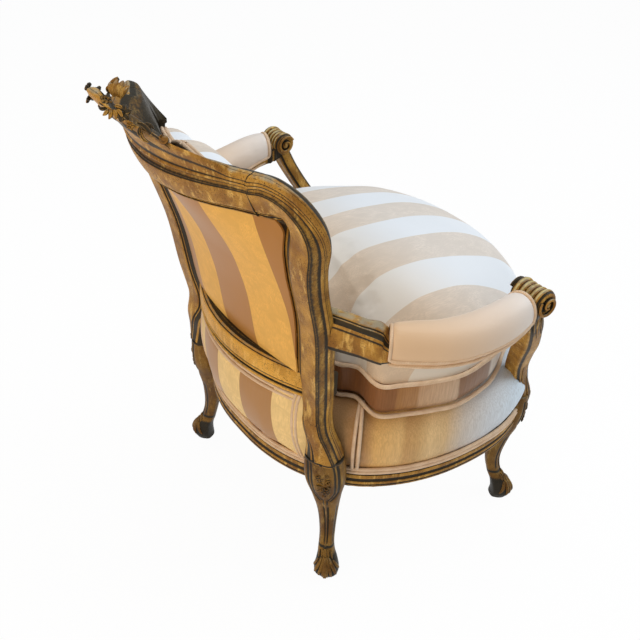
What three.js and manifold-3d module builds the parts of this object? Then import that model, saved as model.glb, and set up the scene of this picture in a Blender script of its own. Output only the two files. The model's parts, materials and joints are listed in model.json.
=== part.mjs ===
// Bergere armchair in the Louis XV manner: a carved beech show-wood frame, a sprung and
// stuffed seat, a padded back and arms, and one loose feather cushion.
// Millimetres, +Z up. The chair looks along -Y. The sitter's left hand is at +X.
import * as THREE from 'three';
import Module from 'manifold-3d';

const wasm = await Module();
wasm.setup();

// Fits and running gaps
const clearance = 0.3;

// Seat frame, seen from above: the outer face of the show-wood rail
const seatHalfWidth = 320;
const seatRearReach = 276;
const seatFrontReach = 325;
const railBottomHeight = 212;
const railShowHeight = 34;
const railStandHeight = 72;
const railStandInset = 12;
const railDepth = 44;

// Back frame
const crestHeight = 955;
const cartoucheRise = 30;
const shoulderInset = 70;
const shoulderHalfWidth = seatHalfWidth - shoulderInset;
const backOverhang = 24;
const backRearReach = seatRearReach + backOverhang;
const backBow = 72;
const stileWidth = 69;
const stileDepth = 42;
const shoulderRadius = 58;
const shoulderRun = 2;
const jointPlugWidth = 3;
const crestJointHalfWidth = shoulderHalfWidth - shoulderRadius - shoulderRun;
const lowerRailInset = 80;
const lowerRailHalfWidth = shoulderHalfWidth - lowerRailInset;
const lowerRailHeight = 446;
const lowerRailTall = 56;
const lowerRailDepth = 40;
const lowerRailProud = 14;

// Legs
const rearFootInset = 80;
const rearFootHalfSpan = seatHalfWidth - rearFootInset;
const rearFootSetback = 48;
const rearFootReach = seatRearReach - rearFootSetback;
const frontFootInset = 36;
const frontFootHalfSpan = seatHalfWidth - frontFootInset;
const frontFootSetback = 107;
const frontFootReach = seatFrontReach - frontFootSetback;
const footWidth = 52;
const kneeWidth = 76;

// Arms
const armHeight = 600;
const armOverhang = 64;
const armHalfSpan = seatHalfWidth + armOverhang;
const armRailTall = 56;
const armBareWidth = 50;
const knuckleRadius = 25;
const knuckleWidth = 62;
const knuckleReach = 55;
const armPadWidth = 58;
const armPadRise = 46;
const supportWidth = 38;
const supportSetback = 93;
const supportBaseReach = seatFrontReach - supportSetback;

// Upholstery
const deckTopHeight = 374;
const deckBulge = 7;
const deckSkirtInset = 9;
const chamberInset = 52;
const chamberTopHeight = 334;
const cushionSideGap = 8;
const cushionHalfWidth = seatHalfWidth - cushionSideGap;
const cushionOverhang = 13;
const cushionFrontReach = seatFrontReach + cushionOverhang;
const cushionRearGap = 94;
const cushionRearReach = seatRearReach - cushionRearGap;
const cushionUnderHeight = deckTopHeight + clearance;
const cushionBandTall = 68;
const cushionCrown = 176;
const pipingRadius = 4.2;
const grooveDepth = pipingRadius + clearance;
const grooveHalfTall = pipingRadius + clearance;
const crownShift = 118;
const backPadThickness = 52;
const outsidePanelRecess = 13;
const outsidePanelThickness = 4;
const rearPadBulge = 16;
const rearPadDepth = 26;

// Inner pieces
const webbingThickness = 2;
const webbingInset = 10;
const webbingWidth = 50;
const coverThickness = 1.5;
const springWireRadius = 2.1;
const springRadius = 34;
const springWaistRadius = 24;
const springTurns = 4;
const blockReach = 74;
const blockFaceReach = 66.6;
const blockDepth = 33.3;
const blockTall = 46;
const blockLift = 2;
const blockMiddleHeight = railBottomHeight + blockLift + blockTall / 2;
const screwRadius = 2.6;
const screwHeadRadius = 5;
const screwLength = 62;
const screwHeadTall = 3;
const screwHeadRim = 1.2;
const screwTipRadius = 1;
const screwTipHeight = -58;
const screwTaperHeight = -51;
const screwSides = 10;

// Finishes
const gilt = { color: 0xb98a3c, roughness: 0.48, metalness: 0.25 };
const satinIvory = { color: 0xe4d6c2, roughness: 0.45, metalness: 0 };
const satinWarm = { color: 0xb98d57, roughness: 0.5, metalness: 0 };
const cordBeige = { color: 0xd9bd97, roughness: 0.7, metalness: 0 };
const rawBeech = { color: 0xb98f5e, roughness: 0.75, metalness: 0 };
const juteBrown = { color: 0x8f6c43, roughness: 0.9, metalness: 0 };
const lining = { color: 0x2a2725, roughness: 0.95, metalness: 0 };
const springSteel = { color: 0x8a8780, roughness: 0.4, metalness: 0.9 };

// Sides of the chair: the sign of x on each side
const sides = [['left', 1], ['right', -1]];

// A solid from closed rings that hold the same number of points. The caps are cut
// into triangles from the first section's flat outline.
function loftSolid(rings, flatSection) {
  const count = rings[0].length;
  const positions = [];
  for (const ring of rings) {
    for (const point of ring) positions.push(point.x, point.y, point.z);
  }
  const faces = [];
  for (let r = 0; r + 1 < rings.length; r++) {
    for (let i = 0; i < count; i++) {
      const a = r * count + i;
      const b = r * count + (i + 1) % count;
      faces.push(a, b, b + count);
      faces.push(a, b + count, a + count);
    }
  }
  const last = (rings.length - 1) * count;
  const turning = Math.sign(THREE.ShapeUtils.area(flatSection));
  for (const [i, second, third] of THREE.ShapeUtils.triangulateShape(flatSection, [])) {
    const corners = [flatSection[i], flatSection[second], flatSection[third]];
    const same = Math.sign(THREE.ShapeUtils.area(corners)) === turning;
    const [j, k] = same ? [second, third] : [third, second];
    faces.push(i, k, j);
    faces.push(last + i, last + j, last + k);
  }
  return solidFrom(positions, faces);
}

// A closed band of rings, such as a cord that runs round and meets itself.
function loopSolid(rings) {
  const count = rings[0].length;
  const positions = [];
  for (const ring of rings) {
    for (const point of ring) positions.push(point.x, point.y, point.z);
  }
  const faces = [];
  for (let r = 0; r < rings.length; r++) {
    for (let i = 0; i < count; i++) {
      const a = r * count + i;
      const b = r * count + (i + 1) % count;
      const c = ((r + 1) % rings.length) * count + i;
      const d = ((r + 1) % rings.length) * count + (i + 1) % count;
      faces.push(a, b, d);
      faces.push(a, d, c);
    }
  }
  return solidFrom(positions, faces);
}

// A pad from rings that shrink to one point at each end.
function padSolid(rings, start, end) {
  const count = rings[0].length;
  const positions = [start.x, start.y, start.z];
  for (const ring of rings) {
    for (const point of ring) positions.push(point.x, point.y, point.z);
  }
  positions.push(end.x, end.y, end.z);
  const faces = [];
  const tip = 1 + rings.length * count;
  const last = 1 + (rings.length - 1) * count;
  for (let i = 0; i < count; i++) {
    const next = (i + 1) % count;
    faces.push(0, 1 + next, 1 + i);
    faces.push(tip, last + i, last + next);
  }
  for (let r = 0; r + 1 < rings.length; r++) {
    for (let i = 0; i < count; i++) {
      const a = 1 + r * count + i;
      const b = 1 + r * count + (i + 1) % count;
      faces.push(a, b, b + count);
      faces.push(a, b + count, a + count);
    }
  }
  return solidFrom(positions, faces);
}

// Turns plain lists of corners and triangles into a solid that faces out.
function solidFrom(positions, faces) {
  let volume = 0;
  const at = (i) => new THREE.Vector3(positions[3 * i], positions[3 * i + 1], positions[3 * i + 2]);
  for (let f = 0; f < faces.length; f += 3) {
    const [a, b, c] = [at(faces[f]), at(faces[f + 1]), at(faces[f + 2])];
    volume += a.dot(b.clone().cross(c));
  }
  if (volume < 0) {
    for (let f = 0; f < faces.length; f += 3) {
      [faces[f + 1], faces[f + 2]] = [faces[f + 2], faces[f + 1]];
    }
  }
  return new wasm.Manifold(new wasm.Mesh({
    numProp: 3,
    vertProperties: new Float32Array(positions),
    triVerts: new Uint32Array(faces),
  }));
}

const cornersPerUnit = 1e4;

// A solid from a three.js geometry, with its shared corners joined.
function solidOf(geometry) {
  const source = geometry.index ? geometry.toNonIndexed() : geometry;
  const place = source.getAttribute('position');
  const found = new Map();
  const positions = [];
  const faces = [];
  for (let i = 0; i < place.count; i++) {
    const corner = [place.getX(i), place.getY(i), place.getZ(i)];
    const key = corner.map((value) => Math.round(value * cornersPerUnit)).join();
    if (!found.has(key)) {
      found.set(key, positions.length / 3);
      positions.push(...corner);
    }
    faces.push(found.get(key));
  }
  const kept = [];
  for (let f = 0; f < faces.length; f += 3) {
    const [a, b, c] = [faces[f], faces[f + 1], faces[f + 2]];
    if (a !== b && b !== c && c !== a) kept.push(a, b, c);
  }
  return solidFrom(positions, kept);
}

// Numbers between the rows of a table, on one smooth curve through all of them.
function smoothRows(rows, steps) {
  const columns = rows[0].length;
  const triples = [];
  for (let c = 0; c < columns; c += 3) {
    const knots = rows.map((row) => new THREE.Vector3(row[c], row[c + 1] ?? 0, row[c + 2] ?? 0));
    triples.push(new THREE.CatmullRomCurve3(knots, false, 'catmullrom', 0.5));
  }
  const result = [];
  for (let i = 0; i <= steps; i++) {
    const values = triples.flatMap((curve) => curve.getPoint(i / steps).toArray());
    result.push(values.slice(0, columns));
  }
  return result;
}

// A value between the rows of a two-column table, eased from row to row.
function between(rows, at) {
  if (at <= rows[0][0]) return rows[0][1];
  for (let i = 1; i < rows.length; i++) {
    if (at <= rows[i][0]) {
      const share = (at - rows[i - 1][0]) / (rows[i][0] - rows[i - 1][0]);
      return THREE.MathUtils.lerp(rows[i - 1][1], rows[i][1], share);
    }
  }
  return rows[rows.length - 1][1];
}

// The rail's outer face from the rear centre to the front centre, as shares of the
// half width and of the reach behind or before the seat's middle.
const seatOutlineShares = [
  [0, 1], [0.28, 0.975], [0.53, 0.875], [0.69, 0.73], [0.8, 0.6], [0.915, 0.35], [0.985, 0.04],
  [1, -0.26], [0.965, -0.5], [0.86, -0.72], [0.66, -0.875], [0.35, -0.97], [0, -1],
];

// A closed outline through points of one half and their mirror images.
function mirroredOutline(half, steps) {
  const all = [...half, ...half.slice(1, -1).reverse().map(([x, y]) => [-x, y])];
  const knots = all.map(([x, y]) => new THREE.Vector3(x, y, 0));
  const curve = new THREE.CatmullRomCurve3(knots, true, 'catmullrom', 0.5);
  const points = [];
  for (let i = 0; i < steps; i++) {
    const point = curve.getPoint(i / steps);
    points.push(new THREE.Vector2(point.x, point.y));
  }
  return points;
}

function seatHalf() {
  return seatOutlineShares.map(([x, y]) => {
    return [x * seatHalfWidth, y * (y > 0 ? seatRearReach : seatFrontReach)];
  });
}

// Moves each point of a closed outline outwards, or inwards for a negative distance.
function offsetOutline(points, distance) {
  const count = points.length;
  const turning = THREE.ShapeUtils.area(points) > 0 ? 1 : -1;
  return points.map((point, i) => {
    const before = points[(i + count - 1) % count];
    const after = points[(i + 1) % count];
    const along = after.clone().sub(before).normalize();
    return new THREE.Vector2(
      point.x + turning * along.y * distance,
      point.y - turning * along.x * distance,
    );
  });
}

// An upright prism over a flat outline.
function prism(outline, low, high) {
  const ringAt = (z) => outline.map((point) => new THREE.Vector3(point.x, point.y, z));
  return loftSolid([ringAt(low), ringAt(high)], outline);
}

// A prism along Y over an outline drawn in x and z, as an opening in the back.
function backPrism(outline, low, high) {
  const ringAt = (y) => outline.map((point) => new THREE.Vector3(point.x, y, point.y));
  return loftSolid([ringAt(low), ringAt(high)], outline);
}

// The rear face of the back: how far behind the seat's middle it lies at each height.
const backProfileShares = [
  [0.21, 0.785], [0.316, 0.873], [0.467, 0.967], [0.524, 1.007], [0.628, 1.067], [0.733, 1.177],
  [0.817, 1.283], [0.869, 1.367], [0.911, 1.44], [0.963, 1.6], [1, 1.72], [1.05, 1.86],
];
// How much of the full bow the back has at each height.
const bowShares = [[0.45, 0.57], [0.73, 0.57], [0.8, 0.68], [0.87, 0.94], [1, 1.15]];

function backRear(height) {
  return between(backProfileShares, height / crestHeight) * backRearReach;
}

function backFace(x, height) {
  const share = x / shoulderHalfWidth;
  return backRear(height) - between(bowShares, height / crestHeight) * backBow * share * share;
}

// The moulded section of the back frame: across from the inner edge, and in from the
// rear face. A fillet, a hollow, a flat band, a hollow in the side, a round bead, the front.
const mouldedShares = [
  [0, 1], [0, 0.16], [0.05, 0.06], [0.15, 0.2], [0.27, 0.07], [0.33, 0], [0.8, 0], [0.88, 0.07],
  [0.9, 0.27], [0.99, 0.36], [1, 0.52], [0.93, 0.62], [0.92, 0.92], [0.84, 1],
];
// The leg's section: a ridge down the outer corner and rounded shoulders.
const legShares = [
  [0.08, 0.86], [0, 0.6], [0.03, 0.36], [0.12, 0.2], [0.26, 0.12], [0.4, 0.08], [0.5, 0],
  [0.6, 0.08], [0.74, 0.12], [0.88, 0.2], [0.97, 0.36], [1, 0.6], [0.92, 0.86], [0.5, 1],
];
const sectionFlat = mouldedShares.map(([a, b]) => new THREE.Vector2(a, b));

// One ring of a post or leg. A station holds the centre (x, y, z), the width, the
// depth, the turn about the post's own line and the share of leg in the section.
function postRing(station, across, grow, outward) {
  const [x, y, z, width, depth, turn, legShare] = station;
  const lean = (backRear(z + clearance) - backRear(z - clearance)) / (2 * clearance);
  return mouldedShares.map(([a, b], i) => {
    const [legA, legB] = legShares[i];
    const side = (THREE.MathUtils.lerp(a, legA, legShare) - 0.5) * (width + 2 * grow);
    const back = (0.5 - THREE.MathUtils.lerp(b, legB, legShare)) * (depth + 2 * grow);
    const turned = side * Math.cos(turn) + back * Math.sin(turn);
    const behind = back * Math.cos(turn) - side * Math.sin(turn);
    const rise = turned * across.y;
    return new THREE.Vector3(
      outward * (x + turned * across.x),
      y + behind + (1 - legShare) * lean * rise,
      z + rise,
    );
  });
}

// The rear leg below the rail: shares of the rail's height, of the foot's half span and
// reach, and of the foot's width across and deep. It is turned to the rear corner.
const rearLegShares = [
  [0, 1, 1, 0.86, 0.86], [0.07, 1.016, 1.016, 1, 1], [0.17, 1, 1.005, 0.84, 0.86],
  [0.29, 0.955, 0.98, 0.6, 0.63], [0.47, 0.925, 0.955, 0.59, 0.62], [0.71, 0.907, 0.95, 0.76, 0.82],
];
// The knee at the rail: shares of the lower back rail's height, of the foot's place and
// of the knee's width, then how far it still turns to the corner and how much is leg.
const kneeShares = [
  [0.45, 0.91, 0.978, 0.74, 0.66, 1, 1], [0.55, 0.918, 1.01, 1, 0.75, 1, 1],
  [0.65, 0.914, 1.027, 0.98, 0.72, 0.95, 1], [0.74, 0.898, 1.045, 0.8, 0.64, 0.65, 0.85],
  [0.83, 0.85, 1.076, 0.76, 0.58, 0.3, 0.45],
];
// The stile's middle line up to the shoulder: shares of the shoulder's half width, of
// the crest's height and of the stile's width.
const stileShares = [
  [0.758, 0.441, 0.98], [0.8, 0.517, 1], [0.852, 0.623, 1], [0.911, 0.718, 1], [0.958, 0.775, 1],
];
// The shoulder's height as a share of the crest's, and the shares of its quarter turn at
// which the post has a station, with how much wider the post swells there.
const shoulderShare = 0.878;
const shoulderTurnShares = [[0, 0], [0.25, 0.08], [0.5, 0.15], [0.75, 0.08], [1, 0]];

// A point of the shoulder's quarter turn, at a distance in from the post's middle line.
function shoulderPoint(turnShare, inward) {
  const angle = turnShare * Math.PI / 2;
  const radius = shoulderRadius - inward;
  return new THREE.Vector2(
    shoulderHalfWidth - shoulderRadius + radius * Math.cos(angle),
    shoulderShare * crestHeight - shoulderRadius + radius * Math.sin(angle),
  );
}

// The rear post, from the foot to the shoulder joint with the crest rail.
function rearPostRows() {
  const corner = Math.PI / 4;
  const rows = rearLegShares.map(([height, x, y, width, depth]) => [
    x * rearFootHalfSpan, y * rearFootReach, height * railBottomHeight,
    width * footWidth, depth * footWidth, corner, 1,
  ]);
  for (const [height, x, y, width, depth, turn, leg] of kneeShares) {
    rows.push([
      x * rearFootHalfSpan, y * rearFootReach, height * lowerRailHeight,
      width * kneeWidth, depth * kneeWidth, turn * corner, leg,
    ]);
  }
  for (const [xShare, heightShare, widthShare] of stileShares) {
    const x = xShare * shoulderHalfWidth;
    const z = heightShare * crestHeight;
    rows.push([x, backFace(x, z) - stileDepth / 2, z, widthShare * stileWidth, stileDepth, 0, 0]);
  }
  for (const [share, swell] of shoulderTurnShares) {
    const { x, y: z } = shoulderPoint(share, -swell * stileWidth / 2);
    const width = (1 + swell) * stileWidth;
    rows.push([x, backFace(x, z) - stileDepth / 2, z, width, stileDepth, 0, 0]);
  }
  const end = crestJointHalfWidth + clearance / 2;
  const z = shoulderShare * crestHeight;
  rows.push([end, backFace(end, z) - stileDepth / 2, z, stileWidth, stileDepth, 0, 0]);
  return rows;
}

const postSteps = 32;

function rearPost(outward, grow) {
  const stations = smoothRows(rearPostRows(), postSteps);
  const rings = stations.map((station, i) => {
    const before = stations[Math.max(i - 1, 0)];
    const after = stations[Math.min(i + 1, stations.length - 1)];
    const run = new THREE.Vector2(after[0] - before[0], after[2] - before[2]).normalize();
    const legShare = THREE.MathUtils.clamp(station[6], 0, 1);
    const across = new THREE.Vector2(run.y, -run.x).lerp(new THREE.Vector2(1, 0), legShare);
    if (i === stations.length - 1) across.set(0, 1);
    const held = [...station];
    held[6] = legShare;
    return postRing(held, across, grow, outward);
  });
  return loftSolid(rings, sectionFlat);
}

const frontLegSteps = 16;
// The front leg: shares of the rail's height, of the foot's half span and reach, and of
// the foot's width across and deep, then the same for the knee with the knee's width.
const frontLegShares = [
  [0, 1, 1, 0.86, 0.86], [0.07, 1.012, 1.016, 1, 1], [0.18, 0.99, 0.99, 0.82, 0.84],
  [0.31, 0.948, 0.94, 0.58, 0.61], [0.5, 0.923, 0.915, 0.61, 0.64], [0.74, 0.928, 0.945, 0.79, 0.81],
];
const frontKneeShares = [
  [0.97, 0.948, 1, 0.84, 0.66], [1.14, 0.955, 1.03, 0.94, 0.7], [1.33, 0.955, 1.035, 0.84, 0.64],
];

// The front leg, a cabriole with its knee turned to the front corner.
function frontLeg(outward, grow) {
  const rowOf = (breadth) => ([height, x, y, width, depth]) => [
    x * frontFootHalfSpan, -y * frontFootReach, height * railBottomHeight,
    width * breadth, depth * breadth, 0,
  ];
  const rows = [...frontLegShares.map(rowOf(footWidth)), ...frontKneeShares.map(rowOf(kneeWidth))];
  const stations = smoothRows(rows, frontLegSteps);
  const rings = stations.map(([x, y, z, width, depth]) => {
    return legShares.map(([a, b]) => {
      const side = (a - 0.5) * (width + 2 * grow);
      const front = (0.5 - b) * (depth + 2 * grow);
      const lean = Math.SQRT1_2;
      return new THREE.Vector3(outward * (x + lean * (side + front)), y + lean * (side - front), z);
    });
  });
  return loftSolid(rings, legShares.map(([a, b]) => new THREE.Vector2(a, b)));
}

// The crest rail: its inner edge's rise and its width as shares of the stile's width,
// at shares of the joint's half width. It steps up from the shoulder to a hump, and the
// last column is the share of the carved cartouche's rise above it.
const crestHalfShares = [
  [0, -0.05, 2.2, 1], [0.07, -0.05, 2.18, 0.95], [0.14, -0.045, 2.08, 0.66], [0.2, -0.04, 1.94, 0.4],
  [0.25, -0.04, 1.76, 0.12], [0.31, -0.04, 1.63, 0], [0.5, -0.03, 1.44, 0], [0.65, -0.02, 1.34, 0],
  [0.76, -0.01, 1.22, 0], [0.81, 0, 1.1, 0], [0.86, 0, 1, 0], [1, 0, 1, 0],
];
const crestSteps = 30;

function crestInnerHeight(share) {
  const rises = crestHalfShares.map(([x, rise]) => [x, rise]);
  const joint = shoulderShare * crestHeight - stileWidth / 2;
  return joint + between(rises, Math.abs(share)) * stileWidth;
}

function crestRail(half) {
  const mirror = crestHalfShares.slice(1).reverse().map(([x, ...others]) => [-x, ...others]);
  const rows = [...mirror, ...crestHalfShares].map(([x, , width, carving]) => [
    x * half, crestInnerHeight(x), width * stileWidth, Math.max(carving, 0) * cartoucheRise,
  ]);
  const stations = smoothRows(rows, crestSteps);
  const rings = stations.map(([x, z, width, carving]) => mouldedShares.map(([a, b]) => {
    const widening = THREE.MathUtils.smoothstep(a, 0.5, 1) * (width - stileWidth);
    const height = z + a * stileWidth + widening;
    const front = THREE.MathUtils.smoothstep(a, 0.78, 0.9) * THREE.MathUtils.smoothstep(b, 0.35, 0.75);
    const lift = front * Math.max(carving, 0);
    return new THREE.Vector3(x, backFace(x, height) - b * stileDepth, height + lift);
  }));
  return loftSolid(rings, sectionFlat);
}

// The lower back rail, bowed and a little proud of the posts.
const lowerRailShares = [
  [-0.5, 0.9], [-0.5, 0.2], [-0.42, 0], [-0.3, 0.07], [-0.2, 0], [0.34, 0], [0.44, 0.12],
  [0.5, 0.3], [0.5, 0.9], [0.4, 1], [-0.4, 1],
];

const lowerRailBowShare = 0.58;
const lowerRailTenonShare = 1.2;
const lowerRailSteps = 14;

function lowerRailRear(x) {
  const share = x / lowerRailHalfWidth;
  return backRear(lowerRailHeight) + lowerRailProud - lowerRailBowShare * backBow * share * share;
}

function lowerBackRail(grow) {
  const half = lowerRailHalfWidth * lowerRailTenonShare;
  const rings = [];
  for (let i = 0; i <= lowerRailSteps; i++) {
    const x = THREE.MathUtils.lerp(-half, half, i / lowerRailSteps);
    rings.push(lowerRailShares.map(([up, inShare]) => new THREE.Vector3(
      x,
      lowerRailRear(x) + grow - inShare * (lowerRailDepth + 2 * grow),
      lowerRailHeight + up * (lowerRailTall + 2 * grow),
    )));
  }
  return loftSolid(rings, lowerRailShares.map(([a, b]) => new THREE.Vector2(a, b)));
}

// The seat rail's section: inwards from the outer face, and up from the under edge.
function railSection(grow) {
  const show = railShowHeight;
  const stand = railStandHeight;
  const rows = [
    [0.1, 0], [0, 0.1 * show], [0, 0.36 * show], [0.07, 0.46 * show], [0.07, 0.56 * show],
    [0, 0.64 * show], [0.01, 0.86 * show], [0.12, show], [railStandInset / railDepth, show],
    [railStandInset / railDepth, stand], [1, stand], [1, 0],
  ];
  return rows.map(([inward, up], i) => {
    const out = i < 8 ? grow : i < 10 ? grow : -grow;
    const lift = up === 0 ? -grow : up >= show ? grow : 0;
    return new THREE.Vector2(out - inward * railDepth, railBottomHeight + up + lift);
  });
}

const seatSteps = 36;

// One seat rail, along the seat outline from one step to another.
function seatRail(firstStep, lastStep, grow, trim) {
  const outline = mirroredOutline(seatHalf(), seatSteps);
  const section = railSection(grow);
  const count = lastStep - firstStep;
  const ring = (share) => {
    const place = firstStep + share * count;
    const low = Math.floor(place);
    const point = outline[(low + seatSteps) % seatSteps].clone();
    point.lerp(outline[(low + 1 + seatSteps) % seatSteps], place - low);
    const runAt = (step) => {
      const after = outline[(step + 1 + seatSteps) % seatSteps].clone();
      return after.sub(outline[(step - 1 + seatSteps) % seatSteps]);
    };
    const along = runAt(low).lerp(runAt(low + 1), place - low).normalize();
    const out = new THREE.Vector2(-along.y, along.x);
    return section.map((corner) => new THREE.Vector3(
      point.x + out.x * corner.x, point.y + out.y * corner.x, corner.y,
    ));
  };
  const rings = [ring(trim)];
  for (let i = 1; i < count; i++) rings.push(ring(i / count));
  rings.push(ring(1 - trim));
  return loftSolid(rings, section);
}

// The arm's section: across, and up from its middle. A rounded top and a quirk.
const armShares = [
  [-0.5, -0.3], [-0.5, 0.22], [-0.4, 0.4], [-0.16, 0.5], [0.16, 0.5], [0.36, 0.42], [0.44, 0.3],
  [0.5, 0.16], [0.5, -0.3], [0.38, -0.5], [-0.38, -0.5],
];
const armFlat = armShares.map(([a, b]) => new THREE.Vector2(a, b));

// The arm's line on the +X side, from inside the rear post to the knuckle: shares of the
// arm's half span, of the back's reach, of the arm's height, of its width and thickness.
const armPathShares = [
  [0.585, 0.835, 0.995, 0.8, 1.16], [0.655, 0.785, 0.995, 0.82, 1.12], [0.728, 0.735, 0.995, 0.86, 1.04],
  [0.77, 0.7, 0.995, 1.02, 1.04], [0.795, 0.672, 0.988, 1.02, 0.96], [0.815, 0.645, 0.978, 0.98, 0.54],
  [0.865, 0.55, 0.965, 1, 0.48], [0.94, 0.375, 0.964, 1.02, 0.44], [0.978, 0.2, 0.97, 1.04, 0.43],
  [0.985, 0.03, 0.99, 1.06, 0.48], [0.975, -0.09, 1.01, 1.06, 0.64], [0.965, -0.165, 1.028, 1.04, 0.8],
];
// The pad's line: the same shares, with the pad's own width and rise.
const padPathShares = [
  [0.808, 0.655, 0.952, 0.88, 1.1], [0.824, 0.628, 0.95, 0.98, 1.3], [0.868, 0.545, 0.95, 1.08, 1.36],
  [0.928, 0.415, 0.95, 1.12, 1.38], [0.966, 0.27, 0.954, 1.12, 1.4], [0.984, 0.11, 0.965, 1.1, 1.4],
  [0.986, 0.03, 0.975, 1.06, 1.34], [0.982, -0.05, 0.986, 1, 1.22], [0.978, -0.085, 0.99, 0.92, 1.1],
];

function armLine(shares, breadth, thickness) {
  return shares.map(([x, y, z, width, tall]) => [
    x * armHalfSpan, y * backRearReach, z * armHeight, width * breadth, tall * thickness, 0,
  ]);
}

function sweptAlong(rows, steps, shares, flat, grow) {
  const stations = smoothRows(rows, steps);
  const rings = stations.map(([x, y, z, width, tall], i) => {
    const before = stations[Math.max(i - 1, 0)];
    const after = stations[Math.min(i + 1, stations.length - 1)];
    const along = new THREE.Vector2(after[0] - before[0], after[1] - before[1]).normalize();
    const out = new THREE.Vector2(-along.y, along.x);
    return shares.map(([a, b]) => new THREE.Vector3(
      x + out.x * a * (width + 2 * grow),
      y + out.y * a * (width + 2 * grow),
      z + b * (tall + 2 * grow),
    ));
  });
  return loftSolid(rings, flat);
}

function mirrored(solid, outward) {
  return outward > 0 ? solid : solid.mirror([1, 0, 0]);
}

// The knuckle's outline: shares of its radius and of its half width. An eye stands on
// each end inside a shallow hollow.
const knuckleShares = [
  [0, -1], [0.3, -1], [0.4, -0.9], [0.9, -0.88], [1, -0.7], [0.93, 0], [1, 0.7], [0.9, 0.88],
  [0.4, 0.9], [0.3, 1], [0, 1],
];
const knuckleSpanShare = 0.968;
const knuckleHeightShare = 1.044;
const knuckleSides = 14;

// The scroll at the arm's front end, a roll that lies across the arm.
function knuckle(grow) {
  const radius = knuckleRadius + grow;
  const half = knuckleWidth / 2 + grow;
  const profile = knuckleShares.map(([out, along]) => new THREE.Vector2(out * radius, along * half));
  const roll = new THREE.LatheGeometry(profile, knuckleSides);
  roll.rotateZ(Math.PI / 2);
  roll.translate(knuckleSpanShare * armHalfSpan, -knuckleReach, knuckleHeightShare * armHeight);
  return solidOf(roll);
}

const armSteps = 18;

function armRail(outward, grow) {
  const line = armLine(armPathShares, armBareWidth, armRailTall);
  const rail = sweptAlong(line, armSteps, armShares, armFlat, grow);
  return mirrored(rail.add(knuckle(grow)), outward);
}

// The stuffed pad that is tacked on top of the arm.
const padShares = [
  [-0.42, 0], [-0.5, 0.28], [-0.47, 0.62], [-0.32, 0.88], [-0.1, 1], [0.1, 1], [0.32, 0.88],
  [0.47, 0.62], [0.5, 0.28], [0.42, 0],
];

const padSteps = 11;

function armPad(outward, armGrown) {
  const rows = armLine(padPathShares, armPadWidth, armPadRise);
  const flat = padShares.map(([a, b]) => new THREE.Vector2(a, b));
  const pad = mirrored(sweptAlong(rows, padSteps, padShares, flat, 0), outward);
  return largest(pad.subtract(armGrown));
}

const supportSteps = 14;
// The support's line: shares of the arm's half span, of the support's reach, of the
// arm's height, and of the support's width across and deep.
const supportPathShares = [
  [0.69, 0.97, 0.4, 1.25, 1.2], [0.7, 0.945, 0.47, 1.22, 1.12], [0.716, 0.86, 0.55, 1.05, 0.98],
  [0.745, 0.76, 0.635, 1, 0.92], [0.8, 0.65, 0.72, 1.02, 0.92], [0.86, 0.54, 0.8, 1.05, 0.94],
  [0.91, 0.42, 0.88, 1.05, 0.92], [0.94, 0.32, 0.95, 1.08, 0.9], [0.958, 0.25, 1.01, 1.08, 0.88],
];
const supportSectionShares = [
  [-0.5, -0.3], [-0.42, -0.44], [0, -0.5], [0.42, -0.44], [0.5, -0.3], [0.5, 0.3],
  [0.36, 0.5], [0, 0.44], [-0.36, 0.5], [-0.5, 0.3],
];

// The arm's support, an S sweep from the seat rail up to the knuckle.
function armSupport(outward, grow) {
  const rows = supportPathShares.map(([x, y, z, width, depth]) => [
    x * armHalfSpan, -y * supportBaseReach, z * armHeight, width * supportWidth, depth * supportWidth, 0,
  ]);
  const stations = smoothRows(rows, supportSteps);
  const rings = stations.map(([x, y, z, width, depth]) => {
    return supportSectionShares.map(([a, b]) => new THREE.Vector3(
      x + a * (width + 2 * grow), y + b * (depth + 2 * grow), z,
    ));
  });
  const flat = supportSectionShares.map(([a, b]) => new THREE.Vector2(a, b));
  return mirrored(loftSolid(rings, flat), outward);
}

// The one body that matters after a cut: slivers beside it are dropped.
function largest(solid) {
  const bodies = solid.decompose();
  bodies.sort((first, second) => second.volume() - first.volume());
  return bodies[0];
}

// Rings that follow one outline, each at its own scale and lift.
function outlineRings(outline, levels, place) {
  return levels.map(([scale, lift]) => outline.map((point) => place(point, scale, lift)));
}

// The deck's edge: shares of the skirt's inset, of the bulge and of the deck's height.
const deckEdgeShares = [
  [1, 0, 0], [0.5, 0, 0.05], [0, 0.3, 0.2], [0, 1, 0.38], [0, 1, 0.55], [0, -0.4, 0.73], [0, -2.4, 0.86],
];
// The deck's top: shares of the outline's reach and of the deck's height.
const deckTopShares = [[0.86, 0.945], [0.7, 0.98], [0.4, 1]];

// The stuffed deck over the rails, with a bulging edge and a domed top.
function seatDeck() {
  const outline = mirroredOutline(seatHalf(), seatSteps);
  const base = railBottomHeight + railShowHeight + clearance;
  const rise = deckTopHeight - base;
  const rings = deckEdgeShares.map(([skirt, bulge, share]) => {
    return offsetOutline(outline, bulge * deckBulge - skirt * deckSkirtInset).map((point) => {
      return new THREE.Vector3(point.x, point.y, base + share * rise);
    });
  });
  for (const [scale, share] of deckTopShares) {
    rings.push(outline.map((point) => {
      return new THREE.Vector3(point.x * scale, point.y * scale, base + share * rise);
    }));
  }
  const middle = new THREE.Vector3(0, 0, base);
  const top = new THREE.Vector3(0, 0, base + rise);
  return padSolid(rings, middle, top);
}

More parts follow.
